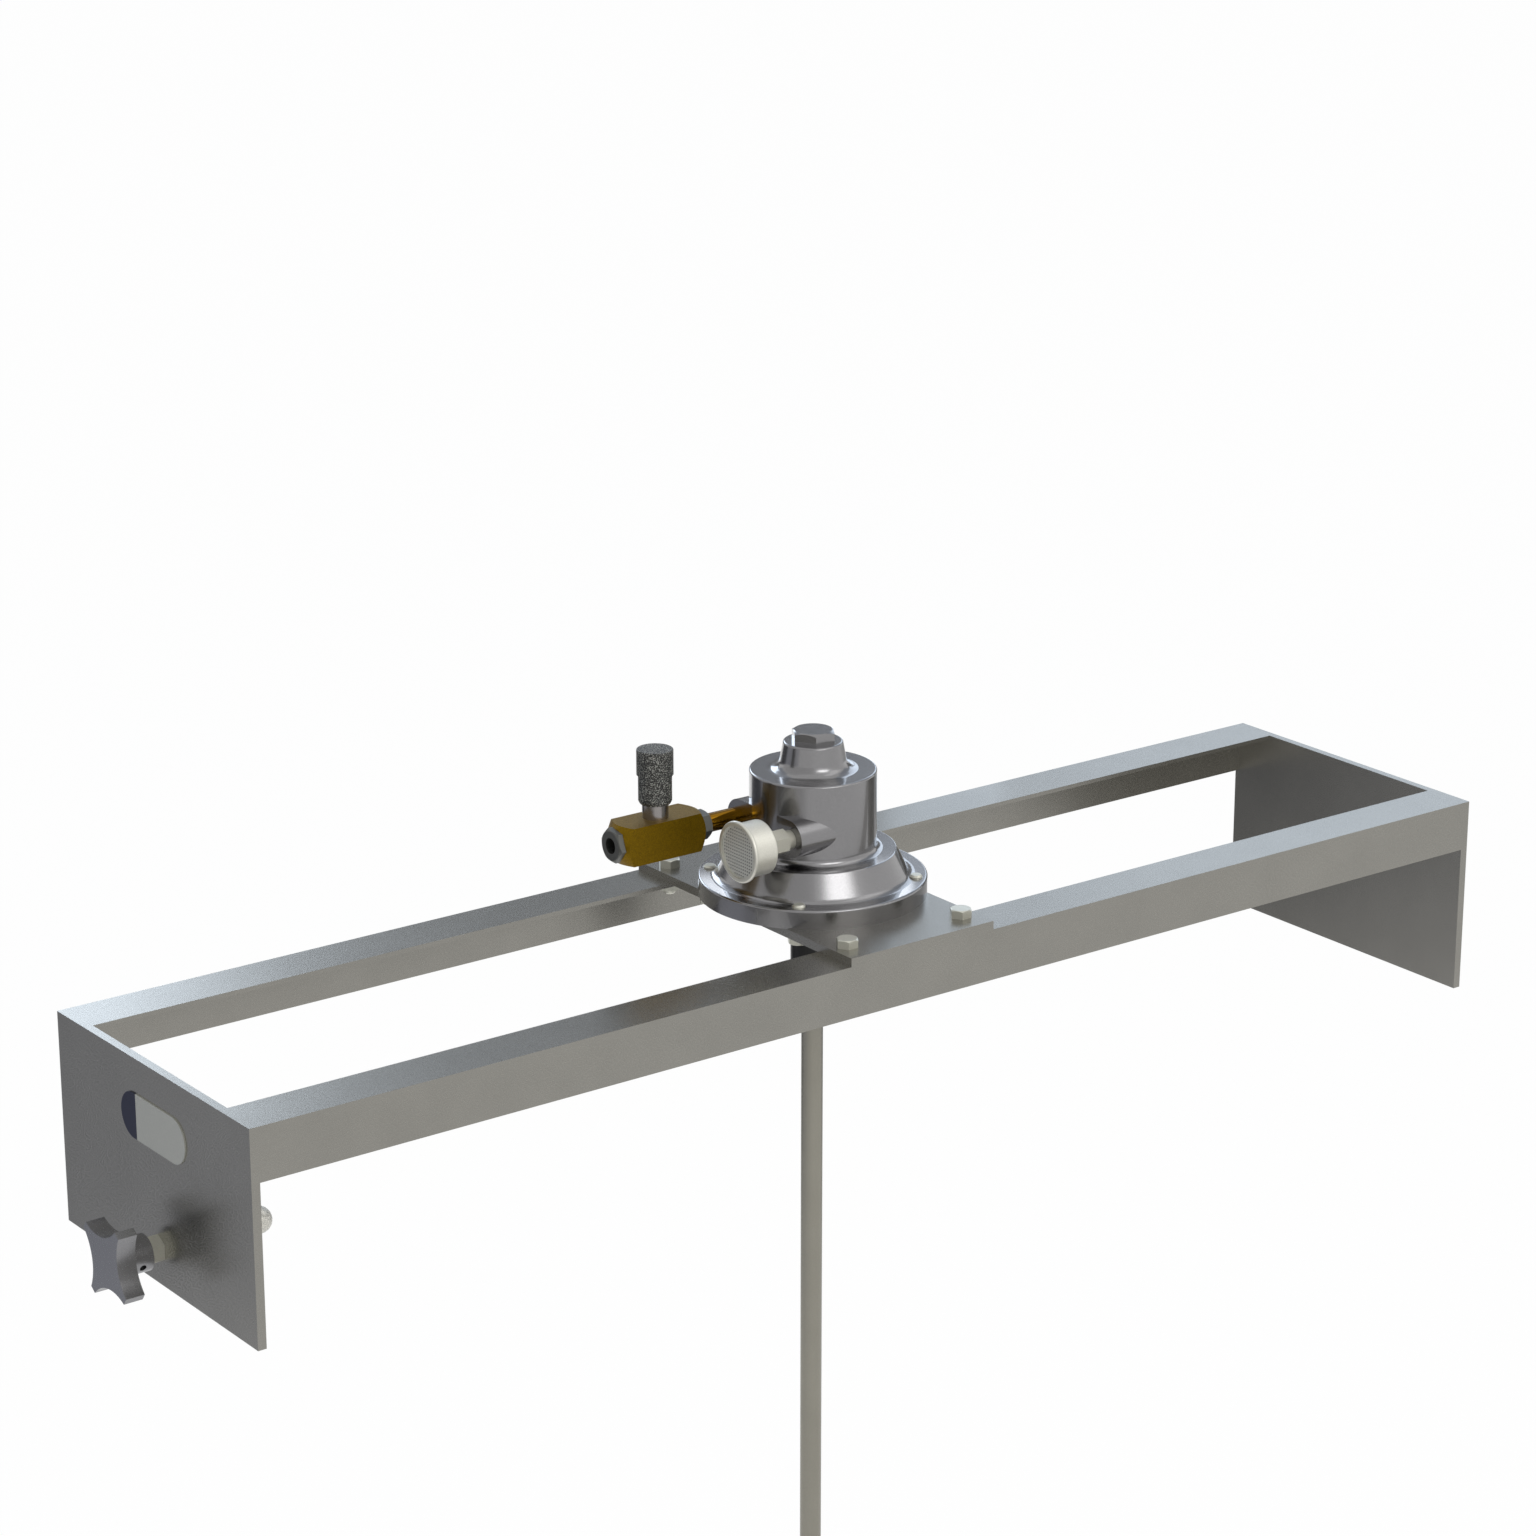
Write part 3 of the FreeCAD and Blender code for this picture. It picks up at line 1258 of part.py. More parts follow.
# Valve stem and knob
# The stem turns in the bonnet and carries a two-step knob, held by a set screw.
knob_roof = knob_top - knob_cap
stem_top = half_side + knob_roof - bevel
keep(
    rod("valve_stem_rod", stem_radius, stem_top - stem_start, stem_x, inlet_y, inlet_z + stem_start),
    "valve_stem",
)
knob = turned(
    "valve_knob_turned",
    [
        (knob_radius - knob_wall, knob_clear),
        (knob_radius - knob_bevel / 2, knob_clear),
        (knob_radius, knob_clear + knob_bevel),
        (knob_radius, knob_step),
        (knob_grip_radius, knob_step),
        (knob_grip_radius, knob_top),
        (0.0, knob_top),
        (0.0, knob_roof),
        (stem_radius + seat_gap, knob_roof),
        (stem_radius + seat_gap, knob_web),
        (knob_radius - knob_wall, knob_web),
    ],
    stem_x, inlet_y, valve_top,
)
round_edges(knob, "knob_top_edge", knob_edge, ring_at(knob_grip_radius, knob_top))
knob_screw_z = valve_top + knob_web + knob_screw_rise
KNOB_SCREW_TURN = Rotation(Vector(0, 0, 1), 90).multiply(TO_FRONT)
knob_screw_hole = rod("knob_screw_hole", grub_radius + seat_gap, 2 * knob_grip_radius, stem_x, inlet_y,
                      knob_screw_z, KNOB_SCREW_TURN)
keep(cut("valve_knob", knob, knob_screw_hole), "valve_knob")
keep(
    set_screw("knob_set_screw_turned", grub_radius, grub_length, stem_radius, stem_x, inlet_y, knob_screw_z,
              KNOB_SCREW_TURN),
    "knob_set_screw",
)

# Exhaust muffler
# A drawn can with a rolled rim and a perforated screen in front of a felt disc, on a hex base that
# screws into the exhaust port.
can_back = -boss_face - muffler_back
can_front = muffler_length
can_bore = muffler_radius - can_wall
rim_back = can_front - muffler_rim_width
screen_front = can_front - screen_recess
screen_back = screen_front - screen_thickness
pipe_hole = pipe_radius + seat_gap
can = turned(
    "muffler_can_turned",
    [
        (pipe_hole, 0.0),
        (muffler_radius, 0.0),
        (muffler_radius, rim_back),
        (muffler_rim_radius, rim_back),
        (muffler_rim_radius, can_front),
        (lip_radius, can_front),
        (lip_radius, screen_front),
        (screen_radius + seat_gap, screen_front),
        (screen_radius + seat_gap, screen_back),
        (can_bore, screen_back),
        (can_bore, can_wall),
        (pipe_hole, can_wall),
    ],
    can_back, -port_spread, port_z, AGAINST_X,
)
round_edges(can, "can_back_edge", muffler_round, ring_at(muffler_radius, 0.0))
round_edges(can, "can_rim_front", rim_round, ring_at(muffler_rim_radius, can_front))
round_edges(can, "can_rim_back", rim_round, ring_at(muffler_rim_radius, rim_back))
keep(can, "muffler_can")
keep(
    rod("muffler_screen_disc", screen_radius, screen_thickness, can_back - screen_back, -port_spread, port_z,
        AGAINST_X),
    "muffler_screen",
)
felt_back = 2 * can_wall + base_flare
keep(
    rod("muffler_felt_disc", can_bore - seat_gap, screen_back - felt_back, can_back - felt_back, -port_spread,
        port_z, AGAINST_X),
    "muffler_felt",
)
base_nut = bevelled_hexagon("muffler_nut", muffler_across, muffler_hex_length, can_back, -port_spread, port_z,
                            ALONG_X)
neck_length = felt_back + muffler_back + port_depth - bevel
base_neck = rod("muffler_base_neck", pipe_radius, neck_length, can_back - felt_back, -port_spread, port_z,
                ALONG_X)
base_way = rod("muffler_base_way", muffler_way, 2 * neck_length, can_back - neck_length, -port_spread, port_z,
               ALONG_X)
keep(cut("muffler_base", joined("muffler_base_blank", base_nut, base_neck), base_way), "muffler_base")

doc.recompute()
for thing in doc.Objects:
    if "Invalid" in thing.State or "Error" in thing.State:
        raise RuntimeError("%s did not build" % thing.Name)
for thing in nodes:
    shape = thing.Shape
    if shape.isNull() or not shape.isValid() or not shape.Solids:
        raise RuntimeError("%s has no valid solid" % thing.Label)
    shape.exportStep("parts/%s.step" % thing.Label)
    print(thing.Label, len(shape.Solids), round(shape.Volume, 1))
print(len(nodes), "nodes")
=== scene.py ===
"""An air-driven tank agitator on a steel bridge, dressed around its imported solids. Sizes are in metres."""

import math

import bpy
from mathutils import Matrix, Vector


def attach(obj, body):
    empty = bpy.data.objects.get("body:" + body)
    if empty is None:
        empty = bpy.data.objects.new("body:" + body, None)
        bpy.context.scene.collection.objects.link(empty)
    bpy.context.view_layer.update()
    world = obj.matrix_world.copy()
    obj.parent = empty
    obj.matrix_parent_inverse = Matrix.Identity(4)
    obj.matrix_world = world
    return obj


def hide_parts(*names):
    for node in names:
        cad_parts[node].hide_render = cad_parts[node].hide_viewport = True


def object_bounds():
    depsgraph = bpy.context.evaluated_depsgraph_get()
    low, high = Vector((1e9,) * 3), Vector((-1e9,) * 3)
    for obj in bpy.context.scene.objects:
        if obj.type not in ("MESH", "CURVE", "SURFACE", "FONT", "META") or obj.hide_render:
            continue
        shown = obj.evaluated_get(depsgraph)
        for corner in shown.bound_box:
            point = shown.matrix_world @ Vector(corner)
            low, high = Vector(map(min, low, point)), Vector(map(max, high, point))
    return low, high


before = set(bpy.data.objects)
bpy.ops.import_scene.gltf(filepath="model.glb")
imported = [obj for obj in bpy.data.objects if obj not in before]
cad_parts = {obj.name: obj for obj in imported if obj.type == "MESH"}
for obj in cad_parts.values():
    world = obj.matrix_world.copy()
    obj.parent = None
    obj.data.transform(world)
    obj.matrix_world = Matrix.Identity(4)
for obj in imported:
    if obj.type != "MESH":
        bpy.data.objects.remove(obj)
solid_low, solid_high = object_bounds()


# Camera
# A long lens on a square frame, level, from in front of the clamp's end and looking down on the bridge.
# It stands where the lines of the bridge and the circles of the motor agree.
CAMERA_TURN = math.radians(36.869)
CAMERA_DOWN = math.radians(17.927)
camera_data = bpy.data.cameras.new("camera")
camera_data.lens = 98.40
camera_data.sensor_width = 36.0
camera_data.clip_end = 50.0
camera = bpy.data.objects.new("camera", camera_data)
camera.location = (-1.7334, -2.2578, 1.0579)
camera.rotation_euler = (math.pi / 2 - CAMERA_DOWN, 0.0, -CAMERA_TURN)
bpy.context.scene.collection.objects.link(camera)
bpy.context.scene.camera = camera
bpy.context.scene.view_settings.view_transform = "Standard"


# Floor
# A pale floor under the blades. To the eye, in mirrors and through glass it is almost plain white, and the
# share that is left is lit by the lamps and takes the shadow.
FLOOR_DROP = 0.012
FLOOR_REACH = 12.0
WHITE_SHARE = 0.98


def linear(code):
    """An sRGB hex colour as linear red, green, blue and alpha."""
    values = []
    for start in (1, 3, 5):
        value = int(code[start:start + 2], 16) / 255
        values.append(value / 12.92 if value <= 0.04045 else ((value + 0.055) / 1.055) ** 2.4)
    return (*values, 1.0)


def add_node(tree, kind, sockets=None, **settings):
    """Add a node with its settings; sockets maps names or numbers to values or to other nodes' outputs."""
    made = tree.nodes.new(kind)
    for name, value in settings.items():
        setattr(made, name, value)
    for key, value in (sockets or {}).items():
        if isinstance(value, bpy.types.NodeSocket):
            tree.links.new(value, made.inputs[key])
        else:
            made.inputs[key].default_value = value
    return made


def seen_directly(tree):
    """One for rays from the eye, from mirrors and through glass, and nothing for all others."""
    rays = add_node(tree, "ShaderNodeLightPath").outputs
    seen = add_node(tree, "ShaderNodeMath", {0: rays["Is Camera Ray"], 1: rays["Is Glossy Ray"]},
                    operation="MAXIMUM")
    seen = add_node(tree, "ShaderNodeMath", {0: seen.outputs[0], 1: rays["Is Transmission Ray"]},
                    operation="MAXIMUM")
    return seen.outputs[0]


floor_material = bpy.data.materials.new("pale_floor")
floor_material.use_nodes = True
tree = floor_material.node_tree
tree.nodes.clear()
share = add_node(tree, "ShaderNodeMath", {0: seen_directly(tree), 1: WHITE_SHARE}, operation="MULTIPLY")
pale = add_node(tree, "ShaderNodeBsdfDiffuse", {"Color": linear("#E9E8E6")})
white = add_node(tree, "ShaderNodeEmission", {"Color": (1.0, 1.0, 1.0, 1.0), "Strength": 1.0})
mix = add_node(tree, "ShaderNodeMixShader", {0: share.outputs[0], 1: pale.outputs[0], 2: white.outputs[0]})
add_node(tree, "ShaderNodeOutputMaterial", {"Surface": mix.outputs[0]})
corners = [(-FLOOR_REACH, -FLOOR_REACH), (FLOOR_REACH, -FLOOR_REACH), (FLOOR_REACH, FLOOR_REACH),
           (-FLOOR_REACH, FLOOR_REACH)]
mesh = bpy.data.meshes.new("floor")
mesh.from_pydata([(x, y, solid_low.z - FLOOR_DROP) for x, y in corners], [], [(0, 1, 2, 3)])
mesh.materials.append(floor_material)
floor = bpy.data.objects.new("floor", mesh)
bpy.context.scene.collection.objects.link(floor)


# Studio
# A white surround, soft lamps, and cards that only mirrors see. Bright cards behind draw the light bands on
# the rails and the motor's flange, the near card and the two strips draw the glow on the plate and on the
# flange's edge, the key card draws the glow on the cone, and dim cards give the metal its darker sides.
MOTOR_HEART = Vector((0.0, 0.0, 0.06))
CARD_STEP = 3.0
SURROUND_LIGHT = 0.55

world = bpy.data.worlds.new("studio")
world.use_nodes = True
tree = world.node_tree
tree.nodes.clear()
plain = add_node(tree, "ShaderNodeBackground", {"Color": linear("#DDE3EC"), "Strength": SURROUND_LIGHT})
white = add_node(tree, "ShaderNodeBackground", {"Color": (1.0, 1.0, 1.0, 1.0), "Strength": 1.0})
mix = add_node(tree, "ShaderNodeMixShader",
               {0: seen_directly(tree), 1: plain.outputs[0], 2: white.outputs[0]})
add_node(tree, "ShaderNodeOutputWorld", {"Surface": mix.outputs[0]})
bpy.context.scene.world = world


def toward(heading, rise):
    """The way from the motor at a heading, clockwise from the camera's view, and a rise."""
    bearing = CAMERA_TURN + math.radians(heading)
    level = math.cos(math.radians(rise))
    return Vector((level * math.sin(bearing), level * math.cos(bearing), math.sin(math.radians(rise))))


def soft_lamp(name, heading, rise, distance, width, height, power, colour):
    """A rectangular lamp that faces the motor and doesn't show in mirrors."""
    data = bpy.data.lights.new(name, "AREA")
    data.shape = "RECTANGLE"
    data.size = width
    data.size_y = height
    data.energy = power
    data.color = linear(colour)[:3]
    lamp = bpy.data.objects.new(name, data)
    bpy.context.scene.collection.objects.link(lamp)
    lamp.location = MOTOR_HEART + distance * toward(heading, rise)
    lamp.rotation_euler = (-toward(heading, rise)).to_track_quat("-Z", "Y").to_euler()
    lamp.visible_glossy = False


def mirror_card(name, headings, rises, distance, brightness, colour, soft):
    """A curved glowing card between two headings and two rises, which only mirroring metal sees. Its edges
    fade over some degrees, and it lights nothing else. Its points stand about CARD_STEP degrees apart."""
    spans = (headings[1] - headings[0], rises[1] - rises[0])
    columns, rows = (math.ceil(span / CARD_STEP) for span in spans)
    places = [(spans[0] * column / columns, spans[1] * row / rows) for row in range(rows + 1)
              for column in range(columns + 1)]
    firsts = [row * (columns + 1) + column for row in range(rows) for column in range(columns)]
    mesh = bpy.data.meshes.new(name)
    mesh.from_pydata([MOTOR_HEART + distance * toward(headings[0] + u, rises[0] + v) for u, v in places], [],
                     [(first, first + 1, first + columns + 2, first + columns + 1) for first in firsts])
    degrees = mesh.uv_layers.new(name="degrees")
    for loop in mesh.loops:
        degrees.data[loop.index].uv = places[loop.vertex_index]
    material = bpy.data.materials.new(name)
    material.use_nodes = True
    tree = material.node_tree
    tree.nodes.clear()
    place = add_node(tree, "ShaderNodeSeparateXYZ", {0: add_node(tree, "ShaderNodeUVMap").outputs[0]})
    inside = []
    for axis, span in zip("XY", spans):
        across = add_node(tree, "ShaderNodeMath", {0: span, 1: place.outputs[axis]}, operation="SUBTRACT")
        edge = add_node(tree, "ShaderNodeMath", {0: place.outputs[axis], 1: across.outputs[0]},
                        operation="MINIMUM")
        inside.append(add_node(tree, "ShaderNodeMapRange", {"Value": edge.outputs[0], "From Max": soft},
                               interpolation_type="SMOOTHSTEP").outputs[0])
    inside = add_node(tree, "ShaderNodeMath", {0: inside[0], 1: inside[1]}, operation="MULTIPLY")
    clear = add_node(tree, "ShaderNodeBsdfTransparent")
    glow = add_node(tree, "ShaderNodeEmission", {"Color": linear(colour), "Strength": brightness})
    mix = add_node(tree, "ShaderNodeMixShader",
                   {0: inside.outputs[0], 1: clear.outputs[0], 2: glow.outputs[0]})
    add_node(tree, "ShaderNodeOutputMaterial", {"Surface": mix.outputs[0]})
    mesh.materials.append(material)
    card = bpy.data.objects.new(name, mesh)
    bpy.context.scene.collection.objects.link(card)
    card.visible_camera = False
    card.visible_diffuse = False
    card.visible_transmission = False
    card.visible_shadow = False


# Each lamp: heading and rise in degrees, distance, width and height in metres, power in watts, colour.
soft_lamp("lamp_above", 10.0, 60.0, 3.0, 1.8, 1.8, 30.0, "#F1F5FF")
soft_lamp("lamp_left", -75.0, 35.0, 3.0, 1.2, 1.2, 14.0, "#FFFFFF")
soft_lamp("lamp_key", 145.0, 33.0, 3.0, 1.6, 0.9, 50.0, "#FFFBF4")

# Each card: its headings and rises in degrees, distance in metres, brightness, colour, soft edge in degrees.
mirror_card("card_behind_high", (-60.0, 60.0), (19.0, 50.0), 11.4, 0.62, "#E4ECF8", 0.3)
mirror_card("card_behind", (-40.0, 38.0), (-5.3, 19.5), 11.0, 0.18, "#FFFFFF", 0.2)
mirror_card("card_behind_right", (2.9, 32.0), (11.0, 33.0), 10.8, 2.0, "#E2EFFF", 0.5)
mirror_card("card_behind_left", (-38.0, -10.1), (12.0, 31.0), 10.6, 4.4, "#E2EFFF", 1.0)
mirror_card("card_near_right", (5.6, 15.5), (-2.0, 16.5), 0.62, 1.6, "#E2EFFF", 1.0)
mirror_card("card_strip_left", (-1.8, -0.35), (19.3, 20.3), 10.7, 4.5, "#F0F6FF", 0.2)
mirror_card("card_strip_right", (1.15, 2.6), (19.3, 20.3), 10.7, 4.5, "#F0F6FF", 0.2)
mirror_card("card_high_right", (70.0, 118.0), (26.0, 75.0), 4.2, 1.6, "#FFFFFF", 8.0)
mirror_card("card_low_left", (-132.0, -36.0), (-33.0, 8.0), 1.9, 0.55, "#F1F4FF", 7.0)
mirror_card("card_low_back_left", (-76.0, -36.0), (-33.0, 8.0), 1.8, 0.10, "#F1F4FF", 6.0)
mirror_card("card_low_front_left", (-172.0, -118.0), (-33.0, 4.0), 1.8, 0.74, "#FFFFFF", 12.0)
mirror_card("card_low_right", (12.0, 66.0), (-33.0, -3.0), 1.9, 0.40, "#FFFFFF", 6.0)
mirror_card("card_high_left", (-185.0, -62.0), (4.0, 66.0), 4.0, 0.78, "#FFFFFF", 10.0)
mirror_card("card_key", (118.0, 172.0), (15.0, 51.0), 3.6, 5.0, "#FFFFFF", 18.0)


# Bridge: two angle rails, two end plates, the motor plate and the welds
# Stainless steel, cut from angle and plate and bead-blasted after welding. The blasted skin is a soft
# even grey with a fine grain of lighter and darker specks, and no brush lines.
NOISE_SPAN = {"From Min": 0.3, "From Max": 0.7}
CLOUD_MM = 40.0
CLOUD_SPREAD = 0.03
ROUGHNESS_SPREAD = 0.07
COAT_ROUGHNESS = 0.03


def grained_finish(name, colour, metallic, roughness, grain, spread, bump, coat=0.0):
    """A material in grains of a size in millimetres, under a clear coat if any. Its colour varies by the
    spread from grain to grain and a little in wide clouds, its roughness varies a little from grain to grain,
    and the bump raises the grains."""
    material = bpy.data.materials.new(name)
    material.use_nodes = True
    tree = material.node_tree
    shader = tree.nodes["Principled BSDF"]
    shader.inputs["Metallic"].default_value = metallic
    shader.inputs["Coat Weight"].default_value = coat
    shader.inputs["Coat Roughness"].default_value = COAT_ROUGHNESS
    place = add_node(tree, "ShaderNodeTexCoord").outputs["Object"]
    speck = add_node(tree, "ShaderNodeTexNoise", {"Vector": place, "Scale": 1000.0 / grain, "Detail": 2.0,
                                                  "Roughness": 0.6})
    cloud = add_node(tree, "ShaderNodeTexNoise", {"Vector": place, "Scale": 1000.0 / CLOUD_MM, "Detail": 3.0,
                                                  "Roughness": 0.5})
    level = add_node(tree, "ShaderNodeMapRange", {"Value": speck.outputs["Fac"], **NOISE_SPAN,
                                                  "To Min": 1.0 - spread, "To Max": 1.0 + spread})
    drift = add_node(tree, "ShaderNodeMapRange", {"Value": cloud.outputs["Fac"], **NOISE_SPAN,
                                                  "To Min": 1.0 - CLOUD_SPREAD, "To Max": 1.0 + CLOUD_SPREAD})
    both = add_node(tree, "ShaderNodeMath", {0: level.outputs[0], 1: drift.outputs[0]}, operation="MULTIPLY")
    tint = add_node(tree, "ShaderNodeVectorMath", {0: linear(colour)[:3], "Scale": both.outputs[0]},
                    operation="SCALE")
    tree.links.new(tint.outputs[0], shader.inputs["Base Color"])
    rough = add_node(tree, "ShaderNodeMapRange", {"Value": speck.outputs["Fac"], **NOISE_SPAN,
                                                  "To Min": (1.0 + ROUGHNESS_SPREAD) * roughness,
                                                  "To Max": (1.0 - ROUGHNESS_SPREAD) * roughness})
    tree.links.new(rough.outputs[0], shader.inputs["Roughness"])
    relief = add_node(tree, "ShaderNodeBump", {"Height": speck.outputs["Fac"], "Strength": bump,
                                               "Distance": grain / 1000.0})
    tree.links.new(relief.outputs[0], shader.inputs["Normal"])
    return material


def dress(material, *names):
    """Give CAD nodes a material in place of their plain one."""
    for name in names:
        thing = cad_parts[name]
        thing.data.materials.clear()
        thing.data.materials.append(material)


blasted_stainless = grained_finish("blasted_stainless", "#8D8B85", metallic=0.93, roughness=0.28, grain=0.6,
                                   spread=0.05, bump=0.025)
dress(blasted_stainless, "front_rail", "rear_rail", "left_end_plate", "right_end_plate", "frame_welds",
      "motor_plate")


# Bolts and nuts
# Hexagonal steel, cold headed and zinc plated: a little warm and brighter than the bridge, with a soft
# shine. Four hold the motor plate to the rails; four come up from below into the motor's flange and show
# their rounded ends.
zinc_plate = grained_finish("zinc_plate", "#C4C3B7", metallic=0.7, roughness=0.3, grain=1.0, spread=0.05,
                            bump=0.05)
dress(zinc_plate, "plate_bolts", "plate_nuts", "motor_bolts", "end_plate_screws")


# Badge plate
# A thin aluminium plate with round ends, stuck on the left end plate and left bare. Satin silver with a fine
# even grain, one end printed dark blue, and no words.
BLUE_EDGE = 0.0202
BADGE_GRAINS_PER_METRE = 900.0
badge_face = bpy.data.materials.new("satin_badge_aluminium")
badge_face.use_nodes = True
tree = badge_face.node_tree
shader = tree.nodes["Principled BSDF"]
shader.inputs["Metallic"].default_value = 0.6
shader.inputs["Roughness"].default_value = 0.36
place = add_node(tree, "ShaderNodeTexCoord")
along = add_node(tree, "ShaderNodeSeparateXYZ", {0: place.outputs["Object"]})
is_blue = add_node(tree, "ShaderNodeMath", {0: along.outputs["Y"], 1: BLUE_EDGE}, operation="GREATER_THAN")
grain = add_node(tree, "ShaderNodeTexNoise", {"Vector": place.outputs["Object"],
                                               "Scale": BADGE_GRAINS_PER_METRE, "Detail": 2.0})
shade = add_node(tree, "ShaderNodeMapRange", {"Value": grain.outputs["Fac"], "To Min": 0.92, "To Max": 1.08})
mixed = add_node(tree, "ShaderNodeMix", {"Factor": is_blue.outputs[0]}, data_type="RGBA")
mixed.inputs[6].default_value = linear("#BBBBB2")
mixed.inputs[7].default_value = linear("#171C38")
tint = add_node(tree, "ShaderNodeVectorMath", {0: mixed.outputs[2], "Scale": shade.outputs[0]},
                operation="SCALE")
tree.links.new(tint.outputs[0], shader.inputs["Base Color"])
dress(badge_face, "badge_plate")


# Clamp: nut, screw, hub, star knob and domed tip
# A turned hub and a star knob cut from plate, in bare steel as grey as the bridge and a little smoother.
# The plated nut is paler, the turned swivel pad at the tip is nearly white, and the set screw is blackened
# and dull.
turned_steel = grained_finish("turned_steel", "#88888A", metallic=0.92, roughness=0.26, grain=0.8,
                              spread=0.04, bump=0.03)
turned_tip = grained_finish("turned_tip_steel", "#CFCDC4", metallic=0.4, roughness=0.34, grain=0.8,
                            spread=0.02, bump=0.01)
black_oxide = grained_finish("black_oxide_steel", "#1E1E1D", metallic=0.6, roughness=0.38, grain=0.8,
                             spread=0.08, bump=0.06)
dress(turned_steel, "clamp_hub", "star_knob")
dress(zinc_plate, "clamp_nut")
dress(turned_tip, "clamp_tip")
dress(black_oxide, "hub_set_screw")


# Clamp screw
# A steel rod with a rolled thread. The part's screw is plain; here a closed rod with many rings is waved in
# and out along a helix, at the pitch by which the clamp travels, with the plain pin that the tip turns on.
SCREW_HEIGHT = -0.0889
THREAD_START = -0.5654
THREAD_END = -0.4740
PIN_END = -0.4647
INCH = 0.0254
THREADS_PER_INCH = 14
CREST_RADIUS = 0.0055
ROOT_RADIUS = 0.0044
PIN_RADIUS = 0.0036
RINGS_PER_PITCH = 6
ROD_SIDES = 24
SHARP_EDGE = math.radians(35.0)


def begin_tree(name, *labels):
    """A geometry tree with number inputs of these names, and the outputs that give them inside it."""
    tree = bpy.data.node_groups.new(name, "GeometryNodeTree")
    tree.interface.new_socket("Geometry", in_out="OUTPUT", socket_type="NodeSocketGeometry")
    for label in labels:
        tree.interface.new_socket(label, in_out="INPUT", socket_type="NodeSocketFloat")
    return tree, add_node(tree, "NodeGroupInput").outputs


def finish_tree(tree, shape, material):
    """End a tree: round faces smooth and edges sharp, instances made real, all of one material."""
    smooth = add_node(tree, "GeometryNodeSetShadeSmooth", {"Geometry": shape})
    angle = add_node(tree, "GeometryNodeInputMeshEdgeAngle")
    sharp = add_node(tree, "ShaderNodeMath", {0: angle.outputs[0], 1: SHARP_EDGE}, operation="GREATER_THAN")
    creased = add_node(tree, "GeometryNodeSetShadeSmooth",
                       {"Geometry": smooth.outputs[0], "Shade Smooth": False, "Selection": sharp.outputs[0]},
                       domain="EDGE")
    real = add_node(tree, "GeometryNodeRealizeInstances", {0: creased.outputs[0]})
    coloured = add_node(tree, "GeometryNodeSetMaterial", {"Geometry": real.outputs[0], "Material": material})
    add_node(tree, "NodeGroupOutput", {0: coloured.outputs[0]})


def grown(name, tree, **inputs):
    """The piece that a geometry tree makes from these inputs, as one plain mesh with no modifier."""
    piece = bpy.data.objects.new(name, bpy.data.meshes.new(name))
    bpy.context.scene.collection.objects.link(piece)
    modifier = piece.modifiers.new("grow", "NODES")
    modifier.node_group = tree
    for socket in tree.interface.items_tree:
        if socket.in_out == "INPUT":
            modifier[socket.identifier] = inputs[socket.name]
    bpy.context.view_layer.update()
    mesh = bpy.data.meshes.new_from_object(piece.evaluated_get(bpy.context.evaluated_depsgraph_get()))
    piece.modifiers.clear()
    piece.data = mesh
    return piece


thread_pitch = INCH / THREADS_PER_INCH
thread_length = THREAD_END - THREAD_START
tree, given = begin_tree("clamp_thread", "Pitch", "Crest", "Root", "Pin")
rod = add_node(tree, "GeometryNodeMeshCylinder",
               {"Vertices": ROD_SIDES, "Side Segments": round(RINGS_PER_PITCH * thread_length / thread_pitch),
                "Radius": 1.0, "Depth": thread_length})
spot = add_node(tree, "GeometryNodeInputPosition")
spot = add_node(tree, "ShaderNodeSeparateXYZ", {0: spot.outputs[0]}).outputs
turn = add_node(tree, "ShaderNodeMath", {0: spot["Y"], 1: spot["X"]}, operation="ARCTAN2")
turn = add_node(tree, "ShaderNodeMath", {0: turn.outputs[0], 1: 2 * math.pi}, operation="DIVIDE")
phase = add_node(tree, "ShaderNodeMath", {0: spot["Z"], 1: given["Pitch"]}, operation="DIVIDE")
phase = add_node(tree, "ShaderNodeMath", {0: phase.outputs[0], 1: turn.outputs[0]}, operation="SUBTRACT")
wave = add_node(tree, "ShaderNodeMath", {0: phase.outputs[0], 1: 0.5}, operation="PINGPONG")
radius = add_node(tree, "ShaderNodeMapRange", {"Value": wave.outputs[0], "From Max": 0.5,
                                               "To Min": given["Root"], "To Max": given["Crest"]})
across = add_node(tree, "ShaderNodeCombineXYZ", {"X": radius.outputs[0], "Y": radius.outputs[0], "Z": 1.0})
place = add_node(tree, "GeometryNodeInputPosition")
waved = add_node(tree, "ShaderNodeVectorMath", {0: place.outputs[0], 1: across.outputs[0]},
                 operation="MULTIPLY")
threaded = add_node(tree, "GeometryNodeSetPosition",
                    {"Geometry": rod.outputs[0], "Position": waved.outputs[0]})
pin_length = PIN_END - THREAD_END + thread_pitch
pin_middle = PIN_END - (pin_length + THREAD_START + THREAD_END) / 2
pin = add_node(tree, "GeometryNodeMeshCylinder", {"Vertices": 2 * ROD_SIDES, "Radius": given["Pin"],
                                                  "Depth": pin_length})
pin = add_node(tree, "GeometryNodeTransform", {"Geometry": pin.outputs[0],
                                               "Translation": (0.0, 0.0, pin_middle)})
both = add_node(tree, "GeometryNodeJoinGeometry", {0: threaded.outputs[0]})
tree.links.new(pin.outputs[0], both.inputs[0])
